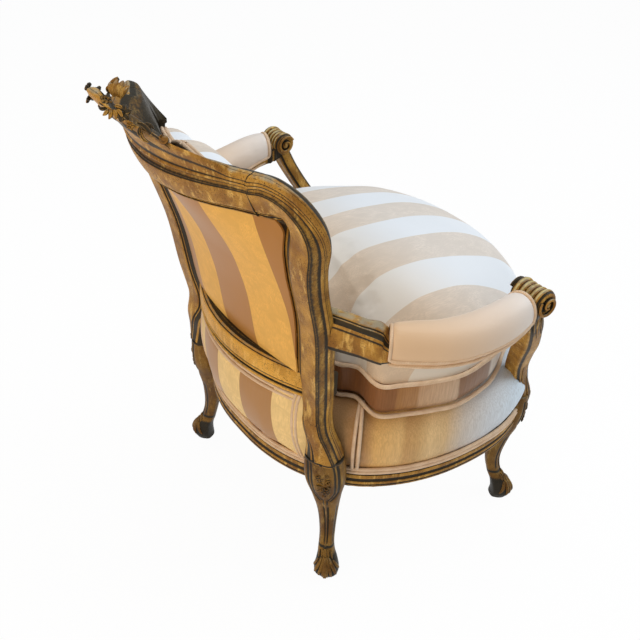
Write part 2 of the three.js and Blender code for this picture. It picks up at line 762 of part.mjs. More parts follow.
// The space under the deck: over the rail's upstand, and the chamber for the springs.
function deckHollow() {
  const outline = mirroredOutline(seatHalf(), seatSteps);
  const low = railBottomHeight;
  const stand = railBottomHeight + railStandHeight + clearance;
  const standOutline = offsetOutline(outline, clearance - railStandInset);
  const overStand = prism(standOutline, low, stand);
  const chamberOutline = offsetOutline(outline, -chamberInset);
  return overStand.add(prism(chamberOutline, low, chamberTopHeight));
}

// The stuffed band below the lower back rail, between the rear posts.
const rearPadHalfShare = 1.1;
// The band's rear face: shares up the band and of its bulge. Its front face and the lip
// that rests on the rail follow at lower shares of the band's height.
const rearPadFaceShares = [[0, 0], [0.12, 0.45], [0.35, 0.95], [0.6, 1], [0.85, 0.6], [1, 0.1]];
const rearPadInnerShares = [1, 0.6, 0.3];
const rearPadHeadShare = 0.3;
const rearPadSteps = 12;

function rearPad(grow) {
  const half = lowerRailHalfWidth * rearPadHalfShare;
  const base = railBottomHeight + railShowHeight + clearance;
  const top = lowerRailHeight - lowerRailTall / 2 - clearance;
  const rings = [];
  for (let i = 0; i <= rearPadSteps; i++) {
    const share = THREE.MathUtils.lerp(-1, 1, i / rearPadSteps);
    const x = share * half;
    const foot = seatRearAt(x) - deckSkirtInset;
    const head = lowerRailRear(x) - lowerRailDepth * rearPadHeadShare;
    const face = rearPadFaceShares.map(([up, bulge]) => new THREE.Vector3(
      x,
      THREE.MathUtils.lerp(foot, head, up) + bulge * rearPadBulge + grow,
      THREE.MathUtils.lerp(base - grow, top + grow, up),
    ));
    const inner = rearPadInnerShares.map((up) => new THREE.Vector3(
      x,
      THREE.MathUtils.lerp(foot, head, up) - rearPadDepth - grow,
      THREE.MathUtils.lerp(base - grow, top + grow, up),
    ));
    const standTop = railBottomHeight + railStandHeight + clearance;
    const lip = [
      new THREE.Vector3(x, foot - rearPadDepth - grow, standTop - grow),
      new THREE.Vector3(x, seatRearAt(x) - railStandInset + clearance - grow, standTop - grow),
      new THREE.Vector3(x, seatRearAt(x) - railStandInset + clearance - grow, base - grow),
    ];
    rings.push([...face, ...inner, ...lip]);
  }
  const flat = rings[0].map((point) => new THREE.Vector2(point.y, point.z));
  return loftSolid(rings, flat);
}

// The rail's outer face behind the seat at a given x.
function seatRearAt(x) {
  const rows = seatOutlineShares.filter(([, y]) => y > 0).map(([px, py]) => [px, py]);
  const share = Math.abs(x) / seatHalfWidth;
  return between(rows, share) * seatRearReach;
}

const openingTopShares = [0.9, 0.6, 0.3];

// The opening in the back frame, as an outline in x and height, a little too large.
function backOpening() {
  const lap = stileWidth / 8;
  const half = stileShares.map(([x, height, width]) => new THREE.Vector2(
    x * shoulderHalfWidth - width * stileWidth / 2 + lap, height * crestHeight,
  ));
  half[0].y = lowerRailHeight + lowerRailTall / 2 - lap;
  for (const [share] of shoulderTurnShares) half.push(shoulderPoint(share, stileWidth / 2 - lap));
  for (const share of openingTopShares) {
    half.push(new THREE.Vector2(share * crestJointHalfWidth, crestInnerHeight(share) + lap));
  }
  const middle = new THREE.Vector2(0, crestInnerHeight(0) + lap);
  const mirror = half.map((point) => new THREE.Vector2(-point.x, point.y)).reverse();
  return [...half, middle, ...mirror];
}

// A block over the joint of crest and post, which keeps the cloth out of its gap.
function jointPlug(outward) {
  const near = outward * (crestJointHalfWidth - jointPlugWidth / 2);
  const far = outward * (crestJointHalfWidth + jointPlugWidth / 2);
  const low = crestInnerHeight(1) - 2 * clearance;
  const top = crestInnerHeight(1) + stileWidth;
  return backPrism([
    new THREE.Vector2(near, low), new THREE.Vector2(far, low),
    new THREE.Vector2(far, top), new THREE.Vector2(near, top),
  ], 0, 2 * backRearReach);
}

const backSheetSteps = [8, 5];

// A sheet that follows the bowed and leaning back at a depth in from its rear face.
function backSheet(depth, thickness) {
  const [columns, rows] = backSheetSteps;
  const half = shoulderHalfWidth;
  const low = lowerRailHeight - lowerRailTall;
  const positions = [];
  const faces = [];
  const index = (layer, r, c) => (layer * (rows + 1) + r) * (columns + 1) + c;
  for (let layer = 0; layer < 2; layer++) {
    for (let r = 0; r <= rows; r++) {
      for (let c = 0; c <= columns; c++) {
        const x = THREE.MathUtils.lerp(-half, half, c / columns);
        const z = THREE.MathUtils.lerp(low, crestHeight, r / rows);
        positions.push(x, backFace(x, z) - depth - layer * thickness, z);
      }
    }
  }
  for (let r = 0; r < rows; r++) {
    for (let c = 0; c < columns; c++) {
      for (const layer of [0, 1]) {
        const a = index(layer, r, c);
        const b = index(layer, r, c + 1);
        const d = index(layer, r + 1, c);
        const e = index(layer, r + 1, c + 1);
        if (layer === 0) faces.push(a, d, e, a, e, b);
        else faces.push(a, e, d, a, b, e);
      }
    }
  }
  const rim = [];
  for (let c = 0; c < columns; c++) rim.push([0, c]);
  for (let r = 0; r < rows; r++) rim.push([r, columns]);
  for (let c = columns; c > 0; c--) rim.push([rows, c]);
  for (let r = rows; r > 0; r--) rim.push([r, 0]);
  rim.forEach(([r, c], i) => {
    const [nr, nc] = rim[(i + 1) % rim.length];
    faces.push(index(0, r, c), index(0, nr, nc), index(1, nr, nc));
    faces.push(index(0, r, c), index(1, nr, nc), index(1, r, c));
  });
  return solidFrom(positions, faces);
}

function outsideBackPanel() {
  const opening = backPrism(backOpening(), 0, 2 * backRearReach);
  return backSheet(outsidePanelRecess, outsidePanelThickness).intersect(opening);
}

const uprightStrapShares = [-0.4, 0, 0.4];
const crossStrapShares = [0.6, 0.7, 0.8];

// Crossed straps inside the back, tacked across the opening.
function backWebbing() {
  const depth = stileDepth - webbingInset;
  const low = lowerRailHeight;
  const straps = [];
  const strap = (x0, x1, z0, z1) => backPrism([
    new THREE.Vector2(x0, z0), new THREE.Vector2(x1, z0),
    new THREE.Vector2(x1, z1), new THREE.Vector2(x0, z1),
  ], 0, 2 * backRearReach);
  const half = webbingWidth / 2;
  for (const share of uprightStrapShares) {
    const x = share * shoulderHalfWidth;
    straps.push(strap(x - half, x + half, low, crestHeight));
  }
  for (const share of crossStrapShares) {
    const z = share * crestHeight;
    straps.push(strap(-shoulderHalfWidth, shoulderHalfWidth, z - half, z + half));
  }
  const lattice = straps.reduce((all, next) => all.add(next));
  const opening = backPrism(backOpening(), 0, 2 * backRearReach);
  return backSheet(depth, webbingThickness).intersect(lattice).intersect(opening);
}

// The back pad's rings: shares of its outline's reach and of its thickness.
const backPadShares = [
  [0.45, 0], [0.8, 0], [0.975, 0], [1, 0.16], [0.99, 0.4], [0.96, 0.62], [0.9, 0.8],
  [0.78, 0.93], [0.55, 0.99],
];

// The stuffed inside of the back, over the front of the frame.
function insideBackPad() {
  const outline = backPadOutline();
  const middleHeight = (lowerRailHeight + crestHeight) / 2;
  const place = (point, scale, lift) => {
    const x = point.x * scale;
    const z = middleHeight + (point.y - middleHeight) * scale;
    return new THREE.Vector3(x, backFace(x, z) - stileDepth - clearance - lift, z);
  };
  const levels = backPadShares.map(([scale, share]) => [scale, share * backPadThickness]);
  const rings = outlineRings(outline, levels, place);
  const start = place(new THREE.Vector2(0, 0), 0, 0);
  const end = place(new THREE.Vector2(0, 0), 0, backPadThickness);
  return padSolid(rings, start, end);
}

const backPadSteps = 34;

// The back pad's outline: shares of the shoulder's half width, and of the height from
// the lower back rail to the crest.
const backPadOutlineShares = [
  [0, -0.1], [0.385, -0.09], [0.615, -0.07], [0.71, 0.06], [0.8, 0.287], [0.875, 0.475], [0.905, 0.6],
  [0.87, 0.655], [0.75, 0.675], [0.58, 0.685], [0.385, 0.705], [0.19, 0.755], [0, 0.785],
];

function backPadOutline() {
  const half = backPadOutlineShares.map(([x, share]) => {
    return [x * shoulderHalfWidth, THREE.MathUtils.lerp(lowerRailHeight, crestHeight, share)];
  });
  return mirroredOutline(half, backPadSteps);
}

const cushionSteps = 46;

// Half of the cushion's outline: shares of its half width and of its reach behind or
// before the seat's middle.
const cushionHalfShares = [
  [0, 1], [0.286, 0.985], [0.505, 0.95], [0.571, 0.86], [0.625, 0.81], [0.755, 0.83], [0.825, 0.79],
  [0.875, 0.62], [0.95, 0.3], [0.99, 0], [0.955, -0.24], [0.88, -0.4], [0.795, -0.52], [0.7, -0.68],
  [0.57, -0.86], [0.305, -0.97], [0, -1],
];

// The loose cushion, wide before the posts with a tongue between them.
function cushionOutline() {
  const half = cushionHalfShares.map(([x, y]) => {
    return [x * cushionHalfWidth, y * (y > 0 ? cushionRearReach : cushionFrontReach)];
  });
  return mirroredOutline(half, cushionSteps);
}

const sidesOfCord = 4;

// The cord that is sewn into a seam round the cushion.
function cushionPiping(height) {
  const outline = cushionOutline();
  const outer = offsetOutline(outline, pipingRadius);
  const rings = outline.map((point, i) => {
    const out = outer[i].clone().sub(point).divideScalar(pipingRadius);
    const ring = [];
    for (let k = 0; k < sidesOfCord; k++) {
      const angle = 2 * Math.PI * k / sidesOfCord;
      const reach = pipingRadius * Math.cos(angle);
      ring.push(new THREE.Vector3(
        point.x + out.x * reach, point.y + out.y * reach, height + pipingRadius * Math.sin(angle),
      ));
    }
    return ring;
  });
  return loopSolid(rings);
}

function cushionSeams() {
  const low = cushionUnderHeight + grooveHalfTall + clearance;
  return [low, low + cushionBandTall];
}

// The crown's rings: how far each is drawn in, and its share of the crown's height.
const crownShares = [[0.97, 0.2], [0.92, 0.42], [0.84, 0.62], [0.72, 0.79], [0.52, 0.93], [0.27, 0.985]];
// The bulging band between the seams: its place up the band and its bulge in grooves.
const bandShares = [[0.2, 0.55], [0.5, 0.9], [0.8, 0.55]];

const cushionUnderShare = 0.55;

// The cushion has a groove at each seam, in which its piping lies.
function seatCushion() {
  const outline = cushionOutline();
  const [low, high] = cushionSeams();
  const ringAt = (points, height) => points.map(({ x, y }) => new THREE.Vector3(x, y, height));
  const inset = (distance, height) => ringAt(offsetOutline(outline, -distance), height);
  const under = outline.map((point) => point.clone().multiplyScalar(cushionUnderShare));
  const rings = [
    ringAt(under, cushionUnderHeight), inset(2 * grooveDepth, cushionUnderHeight),
    inset(grooveDepth / 2, low - grooveHalfTall), inset(grooveDepth, low), inset(0, low + grooveHalfTall),
  ];
  for (const [up, bulge] of bandShares) {
    const height = THREE.MathUtils.lerp(low + grooveHalfTall, high - grooveHalfTall, up);
    rings.push(inset(-bulge * grooveDepth, height));
  }
  rings.push(inset(0, high - grooveHalfTall), inset(grooveDepth, high));
  rings.push(inset(grooveDepth / 2, high + grooveHalfTall));
  const base = high + grooveHalfTall;
  for (const [scale, rise] of crownShares) {
    const points = offsetOutline(outline, -grooveDepth / 2).map((point) => crownPoint(point, scale));
    rings.push(ringAt(points, base + rise * cushionCrown));
  }
  const start = new THREE.Vector3(0, 0, cushionUnderHeight);
  return padSolid(rings, start, new THREE.Vector3(0, crownShift, base + cushionCrown));
}

// A point of the crown: drawn in to the crown's middle, and on to a rounder outline.
function crownPoint(point, scale) {
  const reach = point.y > 0 ? cushionRearReach : cushionFrontReach;
  const angle = Math.atan2(point.y / reach, point.x / cushionHalfWidth);
  const round = new THREE.Vector2(cushionHalfWidth * Math.cos(angle), reach * Math.sin(angle));
  const drawn = point.clone().lerp(round, 1 - scale).multiplyScalar(scale);
  drawn.y += crownShift * (1 - scale);
  return drawn;
}

const underSteps = 28;
const lengthStrapShares = [-0.72, -0.36, 0, 0.36, 0.72];
const widthStrapShares = [-0.66, -0.33, 0, 0.33, 0.66];

// Straps crossed under the seat rails, which carry the springs.
function seatWebbing() {
  const outline = offsetOutline(mirroredOutline(seatHalf(), underSteps), -railStandInset);
  const top = railBottomHeight - clearance;
  const low = top - webbingThickness;
  const half = webbingWidth / 2;
  const straps = [];
  const strap = (x0, x1, y0, y1, drop) => prism([
    new THREE.Vector2(x0, y0), new THREE.Vector2(x1, y0),
    new THREE.Vector2(x1, y1), new THREE.Vector2(x0, y1),
  ], low - drop, top - drop);
  for (const share of lengthStrapShares) {
    const x = share * seatHalfWidth;
    straps.push(strap(x - half, x + half, -seatFrontReach, seatRearReach, 0));
  }
  for (const share of widthStrapShares) {
    const y = share * seatFrontReach - half / 2;
    straps.push(strap(-seatHalfWidth, seatHalfWidth, y - half, y + half, webbingThickness / 2));
  }
  const lattice = straps.reduce((all, next) => all.add(next));
  return lattice.intersect(prism(outline, low - webbingThickness, top + clearance));
}

function dustCover() {
  const outline = offsetOutline(mirroredOutline(seatHalf(), underSteps), -railStandInset / 2);
  const top = railBottomHeight - 2 * webbingThickness;
  return prism(outline, top - coverThickness, top);
}

const stepsPerTurn = 5;
const sidesOfWire = 4;

// A waisted coil spring that stands on the webbing and reaches the deck.
function seatSpring() {
  const low = railBottomHeight + springWireRadius;
  const high = chamberTopHeight - clearance - springWireRadius;
  const steps = springTurns * stepsPerTurn;
  const rings = [];
  for (let i = 0; i <= steps; i++) {
    const share = i / steps;
    const angle = 2 * Math.PI * springTurns * share;
    const flare = (2 * share - 1) ** 2;
    const radius = THREE.MathUtils.lerp(springWaistRadius, springRadius, flare);
    const ease = THREE.MathUtils.smoothstep(share, 0, 1);
    const height = THREE.MathUtils.lerp(low, high, 0.5 * share + 0.5 * ease);
    const out = new THREE.Vector3(Math.cos(angle), Math.sin(angle), 0);
    const centre = out.clone().multiplyScalar(radius).setZ(height);
    const ring = [];
    for (let k = 0; k < sidesOfWire; k++) {
      const turn = 2 * Math.PI * k / sidesOfWire;
      const corner = out.clone().multiplyScalar(Math.cos(turn) * springWireRadius);
      corner.z += Math.sin(turn) * springWireRadius;
      ring.push(centre.clone().add(corner));
    }
    rings.push(ring);
  }
  const flat = [];
  for (let k = 0; k < sidesOfWire; k++) {
    const turn = 2 * Math.PI * k / sidesOfWire;
    flat.push(new THREE.Vector2(Math.cos(turn), Math.sin(turn)));
  }
  return loftSolid(rings, flat);
}

// A block glued into each corner of the seat frame.
function cornerBlock(corner, inward) {
  const along = new THREE.Vector2(-inward.y, inward.x);
  const low = blockMiddleHeight - blockTall / 2;
  const points = [
    corner.clone().addScaledVector(along, blockReach),
    corner.clone().addScaledVector(along, -blockReach),
    corner.clone().addScaledVector(inward, blockDepth).addScaledVector(along, -blockFaceReach),
    corner.clone().addScaledVector(inward, blockDepth).addScaledVector(along, blockFaceReach),
  ];
  return prism(points, low, low + blockTall);
}

// A wood screw that draws a corner block to its post. It lies along the inward line.
function blockScrew(corner, inward, grow) {
  const shank = screwRadius + grow;
  const head = screwHeadRadius + grow;
  const crown = screwHeadRim + grow;
  const profile = [
    [0, -screwLength - grow], [screwTipRadius, screwTipHeight - grow], [shank, screwTaperHeight],
    [shank, -screwHeadTall], [head, -grow], [head, crown], [0, crown],
  ].map(([x, y]) => new THREE.Vector2(x, y));
  const screw = new THREE.LatheGeometry(profile, screwSides);
  screw.rotateZ(-Math.PI / 2);
  screw.rotateZ(Math.atan2(inward.y, inward.x));
  const start = corner.clone().addScaledVector(inward, blockDepth + clearance);
  screw.translate(start.x, start.y, blockMiddleHeight);
  return solidOf(screw);
}

// The four corners of the seat frame: the member there and the way inwards.
const rearBlockShares = [0.78, 0.8];
const frontBlockShares = [0.84, 0.88];

function cornersOfSeat(outward) {
  const diagonal = Math.SQRT1_2;
  const [rearX, rearY] = rearBlockShares;
  const [frontX, frontY] = frontBlockShares;
  const rear = {
    end: 'rear',
    corner: new THREE.Vector2(outward * rearX * rearFootHalfSpan, rearY * rearFootReach),
    inward: new THREE.Vector2(-outward * diagonal, -diagonal),
  };
  const front = {
    end: 'front',
    corner: new THREE.Vector2(outward * frontX * frontFootHalfSpan, -frontY * frontFootReach),
    inward: new THREE.Vector2(-outward * diagonal, diagonal),
  };
  return [rear, front];
}

const chair = new THREE.Group();

function addPiece(name, solid, finish) {
  const { vertProperties, triVerts, numProp } = solid.getMesh();
  const positions = [];
  for (let i = 0; i < vertProperties.length; i += numProp) {
    positions.push(vertProperties[i], vertProperties[i + 1], vertProperties[i + 2]);
  }
  const geometry = new THREE.BufferGeometry();
  geometry.setAttribute('position', new THREE.Float32BufferAttribute(positions, 3));
  geometry.setIndex([...triVerts]);
  geometry.computeVertexNormals();
  const piece = new THREE.Mesh(geometry, new THREE.MeshStandardMaterial(finish));
  piece.name = name;
  chair.add(piece);
  return piece;
}

// Steps of the seat outline at which the posts and the front legs stand.
function stepNearest(target) {
  const outline = mirroredOutline(seatHalf(), seatSteps);
  let best = 0;
  outline.forEach((point, i) => {
    if (point.distanceTo(target) < outline[best].distanceTo(target)) best = i;
  });
  return best;
}

// Where the rails meet inside the posts and legs, as shares of the feet's places, and
// how far a rail stops short of there, as a share of one step.
const rearJointShares = [0.866, 0.92];
const frontJointShares = [0.942, 1];
const jointTrimShare = 0.02;
const springPlaceShares = [[0, -0.16], [-0.34, -0.44], [0.34, -0.44], [-0.32, 0.3], [0.32, 0.3]];

function buildChair() {
  const posts = {};
  const grownPosts = {};
  const legs = {};
  const grownLegs = {};
  const blocks = [];
  for (const [side, outward] of sides) {
    posts[side] = rearPost(outward, 0);
    grownPosts[side] = rearPost(outward, clearance).add(posts[side]);
    legs[side] = frontLeg(outward, 0);
    grownLegs[side] = frontLeg(outward, clearance).add(legs[side]);
  }
  const uprights = [grownPosts.left, grownPosts.right, grownLegs.left, grownLegs.right];
  const clearOfUprights = (solid) => uprights.reduce((left, upright) => left.subtract(upright), solid);

  // Seat rails between the uprights
  const [rearX, rearY] = rearJointShares;
  const [frontX, frontY] = frontJointShares;
  const rearLeft = stepNearest(new THREE.Vector2(rearX * rearFootHalfSpan, rearY * rearFootReach));
  const frontLeft = stepNearest(new THREE.Vector2(frontX * frontFootHalfSpan, -frontY * frontFootReach));
  const frontRight = seatSteps - frontLeft;
  const rearRight = seatSteps - rearLeft;
  const spans = [
    ['seat_rail_left', rearLeft, frontLeft],
    ['seat_rail_front', frontLeft, frontRight],
    ['seat_rail_right', frontRight, rearRight],
    ['seat_rail_rear', rearRight - seatSteps, rearLeft],
  ];
  const rails = spans.map(([name, first, last]) => {
    const trim = jointTrimShare / (last - first);
    const rail = largest(clearOfUprights(seatRail(first, last, 0, trim)));
    return [name, rail, seatRail(first, last, clearance, 0)];
  });
  const railsGrown = rails.map(([, , grown]) => grown);
  const clearOfRails = (solid) => railsGrown.reduce((left, rail) => left.subtract(rail), solid);

  // Back frame
  const crest = crestRail(crestJointHalfWidth - clearance / 2);
  const lowerRail = largest(lowerBackRail(0).subtract(grownPosts.left).subtract(grownPosts.right));
  const lowerGrown = lowerBackRail(clearance);

  // Corner blocks with a screw each
  for (const [side, outward] of sides) {
    for (const { end, corner, inward } of cornersOfSeat(outward)) {
      const screw = blockScrew(corner, inward, 0);
      const hole = blockScrew(corner, inward, clearance);
      const block = largest(clearOfRails(clearOfUprights(cornerBlock(corner, inward))).subtract(hole));
      const upright = end === 'rear' ? posts : legs;
      upright[side] = upright[side].subtract(hole);
      rails.forEach((rail) => {
        rail[1] = rail[1].subtract(hole);
      });
      blocks.push([`corner_block_${end}_${side}`, block, rawBeech]);
      blocks.push([`block_screw_${end}_${side}`, screw, springSteel]);
    }
  }

  // Arms
  const arms = {};
  const supports = {};
  for (const [side, outward] of sides) {
    const grown = armRail(outward, clearance);
    arms[side] = largest(armRail(outward, 0).subtract(grownPosts[side]));
    const support = armSupport(outward, 0).subtract(grown).subtract(grownLegs[side]);
    supports[side] = largest(clearOfRails(support));
    addPiece(`rear_post_${side}`, posts[side], gilt);
    addPiece(`front_leg_${side}`, legs[side], gilt);
    addPiece(`arm_rail_${side}`, arms[side], gilt);
    addPiece(`arm_support_${side}`, supports[side], gilt);
    addPiece(`arm_pad_${side}`, armPad(outward, grown), satinIvory);
  }
  for (const [name, rail] of rails) addPiece(name, rail, gilt);
  addPiece('crest_rail', crest, gilt);
  addPiece('lower_back_rail', lowerRail, gilt);
  for (const [name, block, finish] of blocks) addPiece(name, block, finish);

  // Back upholstery
  const crestGrown = crest.add(crest.translate([0, 0, -clearance]));
  const overFrame = crestGrown.add(lowerGrown).add(jointPlug(1)).add(jointPlug(-1));
  const inBackFrame = (solid) => largest(clearOfUprights(solid).subtract(overFrame));
  addPiece('outside_back_panel', inBackFrame(outsideBackPanel()), satinWarm);
  addPiece('back_webbing', inBackFrame(backWebbing()), juteBrown);
  const rearBand = clearOfUprights(rearPad(0)).subtract(lowerGrown);
  addPiece('rear_seat_pad', largest(clearOfRails(rearBand)), satinWarm);
  addPiece('inside_back_pad', inBackFrame(insideBackPad()), satinIvory);

  // Seat upholstery
  let deck = seatDeck().subtract(deckHollow()).subtract(rearPad(clearance));
  deck = clearOfUprights(deck);
  for (const [, outward] of sides) deck = deck.subtract(armSupport(outward, clearance));
  addPiece('seat_deck', largest(deck), satinIvory);
  addPiece('seat_webbing', largest(clearOfUprights(seatWebbing())), juteBrown);
  addPiece('dust_cover', largest(clearOfUprights(dustCover())), lining);
  const spring = seatSpring();
  springPlaceShares.forEach(([x, y], i) => {
    const piece = addPiece(`seat_spring_${i + 1}`, spring, springSteel);
    piece.position.set(x * seatHalfWidth, y * seatRearReach, 0);
  });

  // Loose cushion
  const [low, high] = cushionSeams();
  addPiece('seat_cushion', seatCushion(), satinIvory);
  addPiece('cushion_piping_bottom', cushionPiping(low), cordBeige);
  addPiece('cushion_piping_top', cushionPiping(high), cordBeige);
}

buildChair();

// The chair stands on z = 0 with the middle of its length over the origin.
const bounds = new THREE.Box3().setFromObject(chair);
chair.position.y = -(bounds.min.y + bounds.max.y) / 2;

export default chair;
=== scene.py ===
"""Visual model of a carved show-wood armchair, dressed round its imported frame.

The chair looks along -Y and stands on the floor at z = 0. Lengths are in metres.
"""
import json
import logging
import math
from dataclasses import dataclass, field
from enum import Enum
from typing import Callable, Iterable, Optional, Sequence

import bmesh
import bpy
import numpy as np
from mathutils import Matrix, Vector, noise
from mathutils.kdtree import KDTree

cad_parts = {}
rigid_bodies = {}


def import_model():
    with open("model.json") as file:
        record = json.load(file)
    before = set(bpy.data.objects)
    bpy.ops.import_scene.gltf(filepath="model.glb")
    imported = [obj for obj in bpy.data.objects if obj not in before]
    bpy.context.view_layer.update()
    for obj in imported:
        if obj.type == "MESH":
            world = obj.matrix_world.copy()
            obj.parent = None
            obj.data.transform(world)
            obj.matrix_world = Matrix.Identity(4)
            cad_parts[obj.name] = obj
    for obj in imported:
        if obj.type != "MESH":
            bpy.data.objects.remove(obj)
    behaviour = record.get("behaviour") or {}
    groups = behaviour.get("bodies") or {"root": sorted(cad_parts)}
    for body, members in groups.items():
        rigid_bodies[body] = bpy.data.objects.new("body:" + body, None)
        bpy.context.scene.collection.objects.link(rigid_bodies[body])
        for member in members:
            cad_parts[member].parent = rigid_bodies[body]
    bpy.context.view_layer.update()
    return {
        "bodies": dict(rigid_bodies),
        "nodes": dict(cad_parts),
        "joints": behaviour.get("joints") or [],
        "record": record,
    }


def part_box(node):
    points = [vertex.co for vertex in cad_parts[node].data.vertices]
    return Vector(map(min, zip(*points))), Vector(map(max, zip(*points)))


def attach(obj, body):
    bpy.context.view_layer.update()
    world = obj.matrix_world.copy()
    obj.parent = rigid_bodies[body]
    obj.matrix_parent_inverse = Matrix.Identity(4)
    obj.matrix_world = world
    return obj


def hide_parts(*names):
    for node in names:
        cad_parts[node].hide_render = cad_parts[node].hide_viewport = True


LOG = logging.getLogger("armchair")

# The seat frame and the back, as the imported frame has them
CREST_HEIGHT = 0.955
SHOULDER_HALF = 0.250
BACK_REACH = 0.300
BACK_BOW = 0.072
STILE_WIDTH = 0.069
STILE_DEPTH = 0.042
SHOULDER_RADIUS = 0.058
JOINT_HALF = 0.190
CARTOUCHE_RISE = 0.030
SHOULDER_SHARE = 0.878
SEAT_HALF = 0.320
SEAT_REAR = 0.276
SEAT_FRONT = 0.325
RAIL_LOW = 0.212
RAIL_SHOW = 0.034
RAIL_STAND = 0.072
RAIL_DEPTH = 0.044
LOWER_RAIL = 0.446
LOWER_HALF = 0.170
LOWER_TALL = 0.056
LOWER_DEPTH = 0.040
LOWER_PROUD = 0.014
FOOT_WIDTH = 0.052
KNEE_WIDTH = 0.076
REAR_FOOT = (0.240, 0.228)
FRONT_FOOT = (0.284, 0.218)
ARM_HEIGHT = 0.600
ARM_HALF = 0.384
FIT_GAP = 0.0003

Rows = Sequence[Sequence[float]]


class Side(Enum):
    """The two sides of the chair, with the sign of x on each."""

    LEFT = 1
    RIGHT = -1

    @property
    def label(self) -> str:
        """The side's name as the frame's nodes write it."""
        return self.name.lower()


def smooth_rows(rows: Rows, steps: int, closed: bool = False) -> np.ndarray:
    """Put one smooth curve through the rows of a table.

    Args:
        rows: The table, one knot to a row.
        steps: How many steps the curve is cut into.
        closed: Whether the last row runs on to the first.

    Returns:
        The rows on the curve: steps of them where it is closed, else one more.
    """
    knots = np.array(rows, dtype=float)
    total = len(knots)
    if closed:
        place = np.arange(steps) / steps * total
        low = np.floor(place).astype(int)
        picks = [knots[(low + d) % total] for d in (-1, 0, 1, 2)]
    else:
        grown = np.vstack([2 * knots[0] - knots[1], knots, 2 * knots[-1] - knots[-2]])
        place = np.arange(steps + 1) / steps * (total - 1)
        low = np.minimum(np.floor(place).astype(int), total - 2)
        picks = [grown[low + d] for d in (0, 1, 2, 3)]
    part = (place - low)[:, None]
    before, start, end, after = picks
    into, out = 0.5 * (end - before), 0.5 * (after - start)
    cube = 2 * start - 2 * end + into + out
    square = -3 * start + 3 * end - 2 * into - out
    return ((cube * part + square) * part + into) * part + start


def between(rows: Rows, at: float) -> float:
    """Read a two-column table at a value, in straight lines from row to row."""
    return float(np.interp(at, [row[0] for row in rows], [row[1] for row in rows]))


def ease(value: float, low: float, high: float) -> float:
    """Rise smoothly from 0 at low to 1 at high."""
    share = min(max((value - low) / (high - low), 0.0), 1.0)
    return share * share * (3 - 2 * share)


def bump(value: float, centre: float, width: float) -> float:
    """A smooth hill of height 1 at centre, about width wide."""
    return math.exp(-(((value - centre) / width) ** 2))


def rounded(line: np.ndarray, times: int = 3, closed: bool = False) -> np.ndarray:
    """Cut a line's corners again and again until it runs smoothly.

    Args:
        line: The line's points.
        times: How often the corners are cut.
        closed: Whether the line runs round and meets itself.

    Returns:
        The smoother line.
    """
    for _ in range(times):
        after = np.roll(line, -1, 0) if closed else line[1:]
        before = line if closed else line[:-1]
        cut = np.stack([before * 0.75 + after * 0.25, before * 0.25 + after * 0.75], 1)
        cut = cut.reshape(-1, line.shape[1])
        line = cut if closed else np.vstack([line[:1], cut, line[-1:]])
    return line


def even(line: np.ndarray, steps: int) -> np.ndarray:
    """The same line with its points at even distances."""
    run = np.concatenate([[0], np.cumsum(np.linalg.norm(np.diff(line, axis=0), axis=1))])
    at = np.linspace(0, run[-1], steps + 1)
    return np.column_stack([np.interp(at, run, line[:, k]) for k in range(line.shape[1])])


def mirrored_outline(half: Rows, steps: int) -> np.ndarray:
    """A closed curve through the points of one half and their mirror images.

    Args:
        half: Points from the rear middle to the front middle.
        steps: How many points the whole outline gets.

    Returns:
        The outline's points, in x and y.
    """
    back = [(-x, y) for x, y in reversed(list(half)[1:-1])]
    return smooth_rows([*half, *back], steps, closed=True)


def offset_outline(points: np.ndarray, distance: float) -> np.ndarray:
    """Move each point of a closed outline outwards, or inwards if negative."""
    along = np.roll(points, -1, 0) - np.roll(points, 1, 0)
    along /= np.linalg.norm(along, axis=1)[:, None]
    x, y = points[:, 0], points[:, 1]
    turning = np.sign(np.sum(x * np.roll(y, -1) - np.roll(x, -1) * y))
    out = np.column_stack([along[:, 1], -along[:, 0]]) * turning
    return points + out * distance


BACK_PROFILE = [
    (0.21, 0.785), (0.316, 0.873), (0.467, 0.967), (0.524, 1.007), (0.628, 1.067),
    (0.733, 1.177), (0.817, 1.283), (0.869, 1.367), (0.911, 1.44), (0.963, 1.6),
    (1, 1.72), (1.05, 1.86),
]
BOW_SHARES = [(0.3, 0.57), (0.45, 0.57), (0.6, 0.57), (0.73, 0.57), (0.8, 0.68), (0.87, 0.94), (1, 1.15), (1.1, 1.4)]
SEAT_SHARES = [
    (0, 1), (0.28, 0.975), (0.53, 0.875), (0.69, 0.73), (0.8, 0.6), (0.915, 0.35),
    (0.985, 0.04), (1, -0.26), (0.965, -0.5), (0.86, -0.72), (0.66, -0.875),
    (0.35, -0.97), (0, -1),
]


BACK_CURVE = smooth_rows(BACK_PROFILE, 220)
BOW_CURVE = smooth_rows(BOW_SHARES, 140)


def back_rear(height: float) -> float:
    """How far behind the seat's middle the back's rear face lies on the middle line."""
    return float(np.interp(height / CREST_HEIGHT, BACK_CURVE[:, 0], BACK_CURVE[:, 1])) * BACK_REACH


def back_face(x: float, height: float) -> float:
    """The same at any x: the back is bowed round the sitter."""
    share = x / SHOULDER_HALF
    bow = float(np.interp(height / CREST_HEIGHT, BOW_CURVE[:, 0], BOW_CURVE[:, 1])) * BACK_BOW
    return back_rear(height) - bow * share * share


def seat_outline(steps: int) -> np.ndarray:
    """The outer face of the seat rail, seen from above."""
    half = [(x * SEAT_HALF, y * (SEAT_REAR if y > 0 else SEAT_FRONT)) for x, y in SEAT_SHARES]
    return mirrored_outline(half, steps)


def seat_rear_at(x: float) -> float:
    """The rail's outer face behind the seat at a given x."""
    rows = [(px, py) for px, py in SEAT_SHARES if py > 0]
    return between(rows, abs(x) / SEAT_HALF) * SEAT_REAR


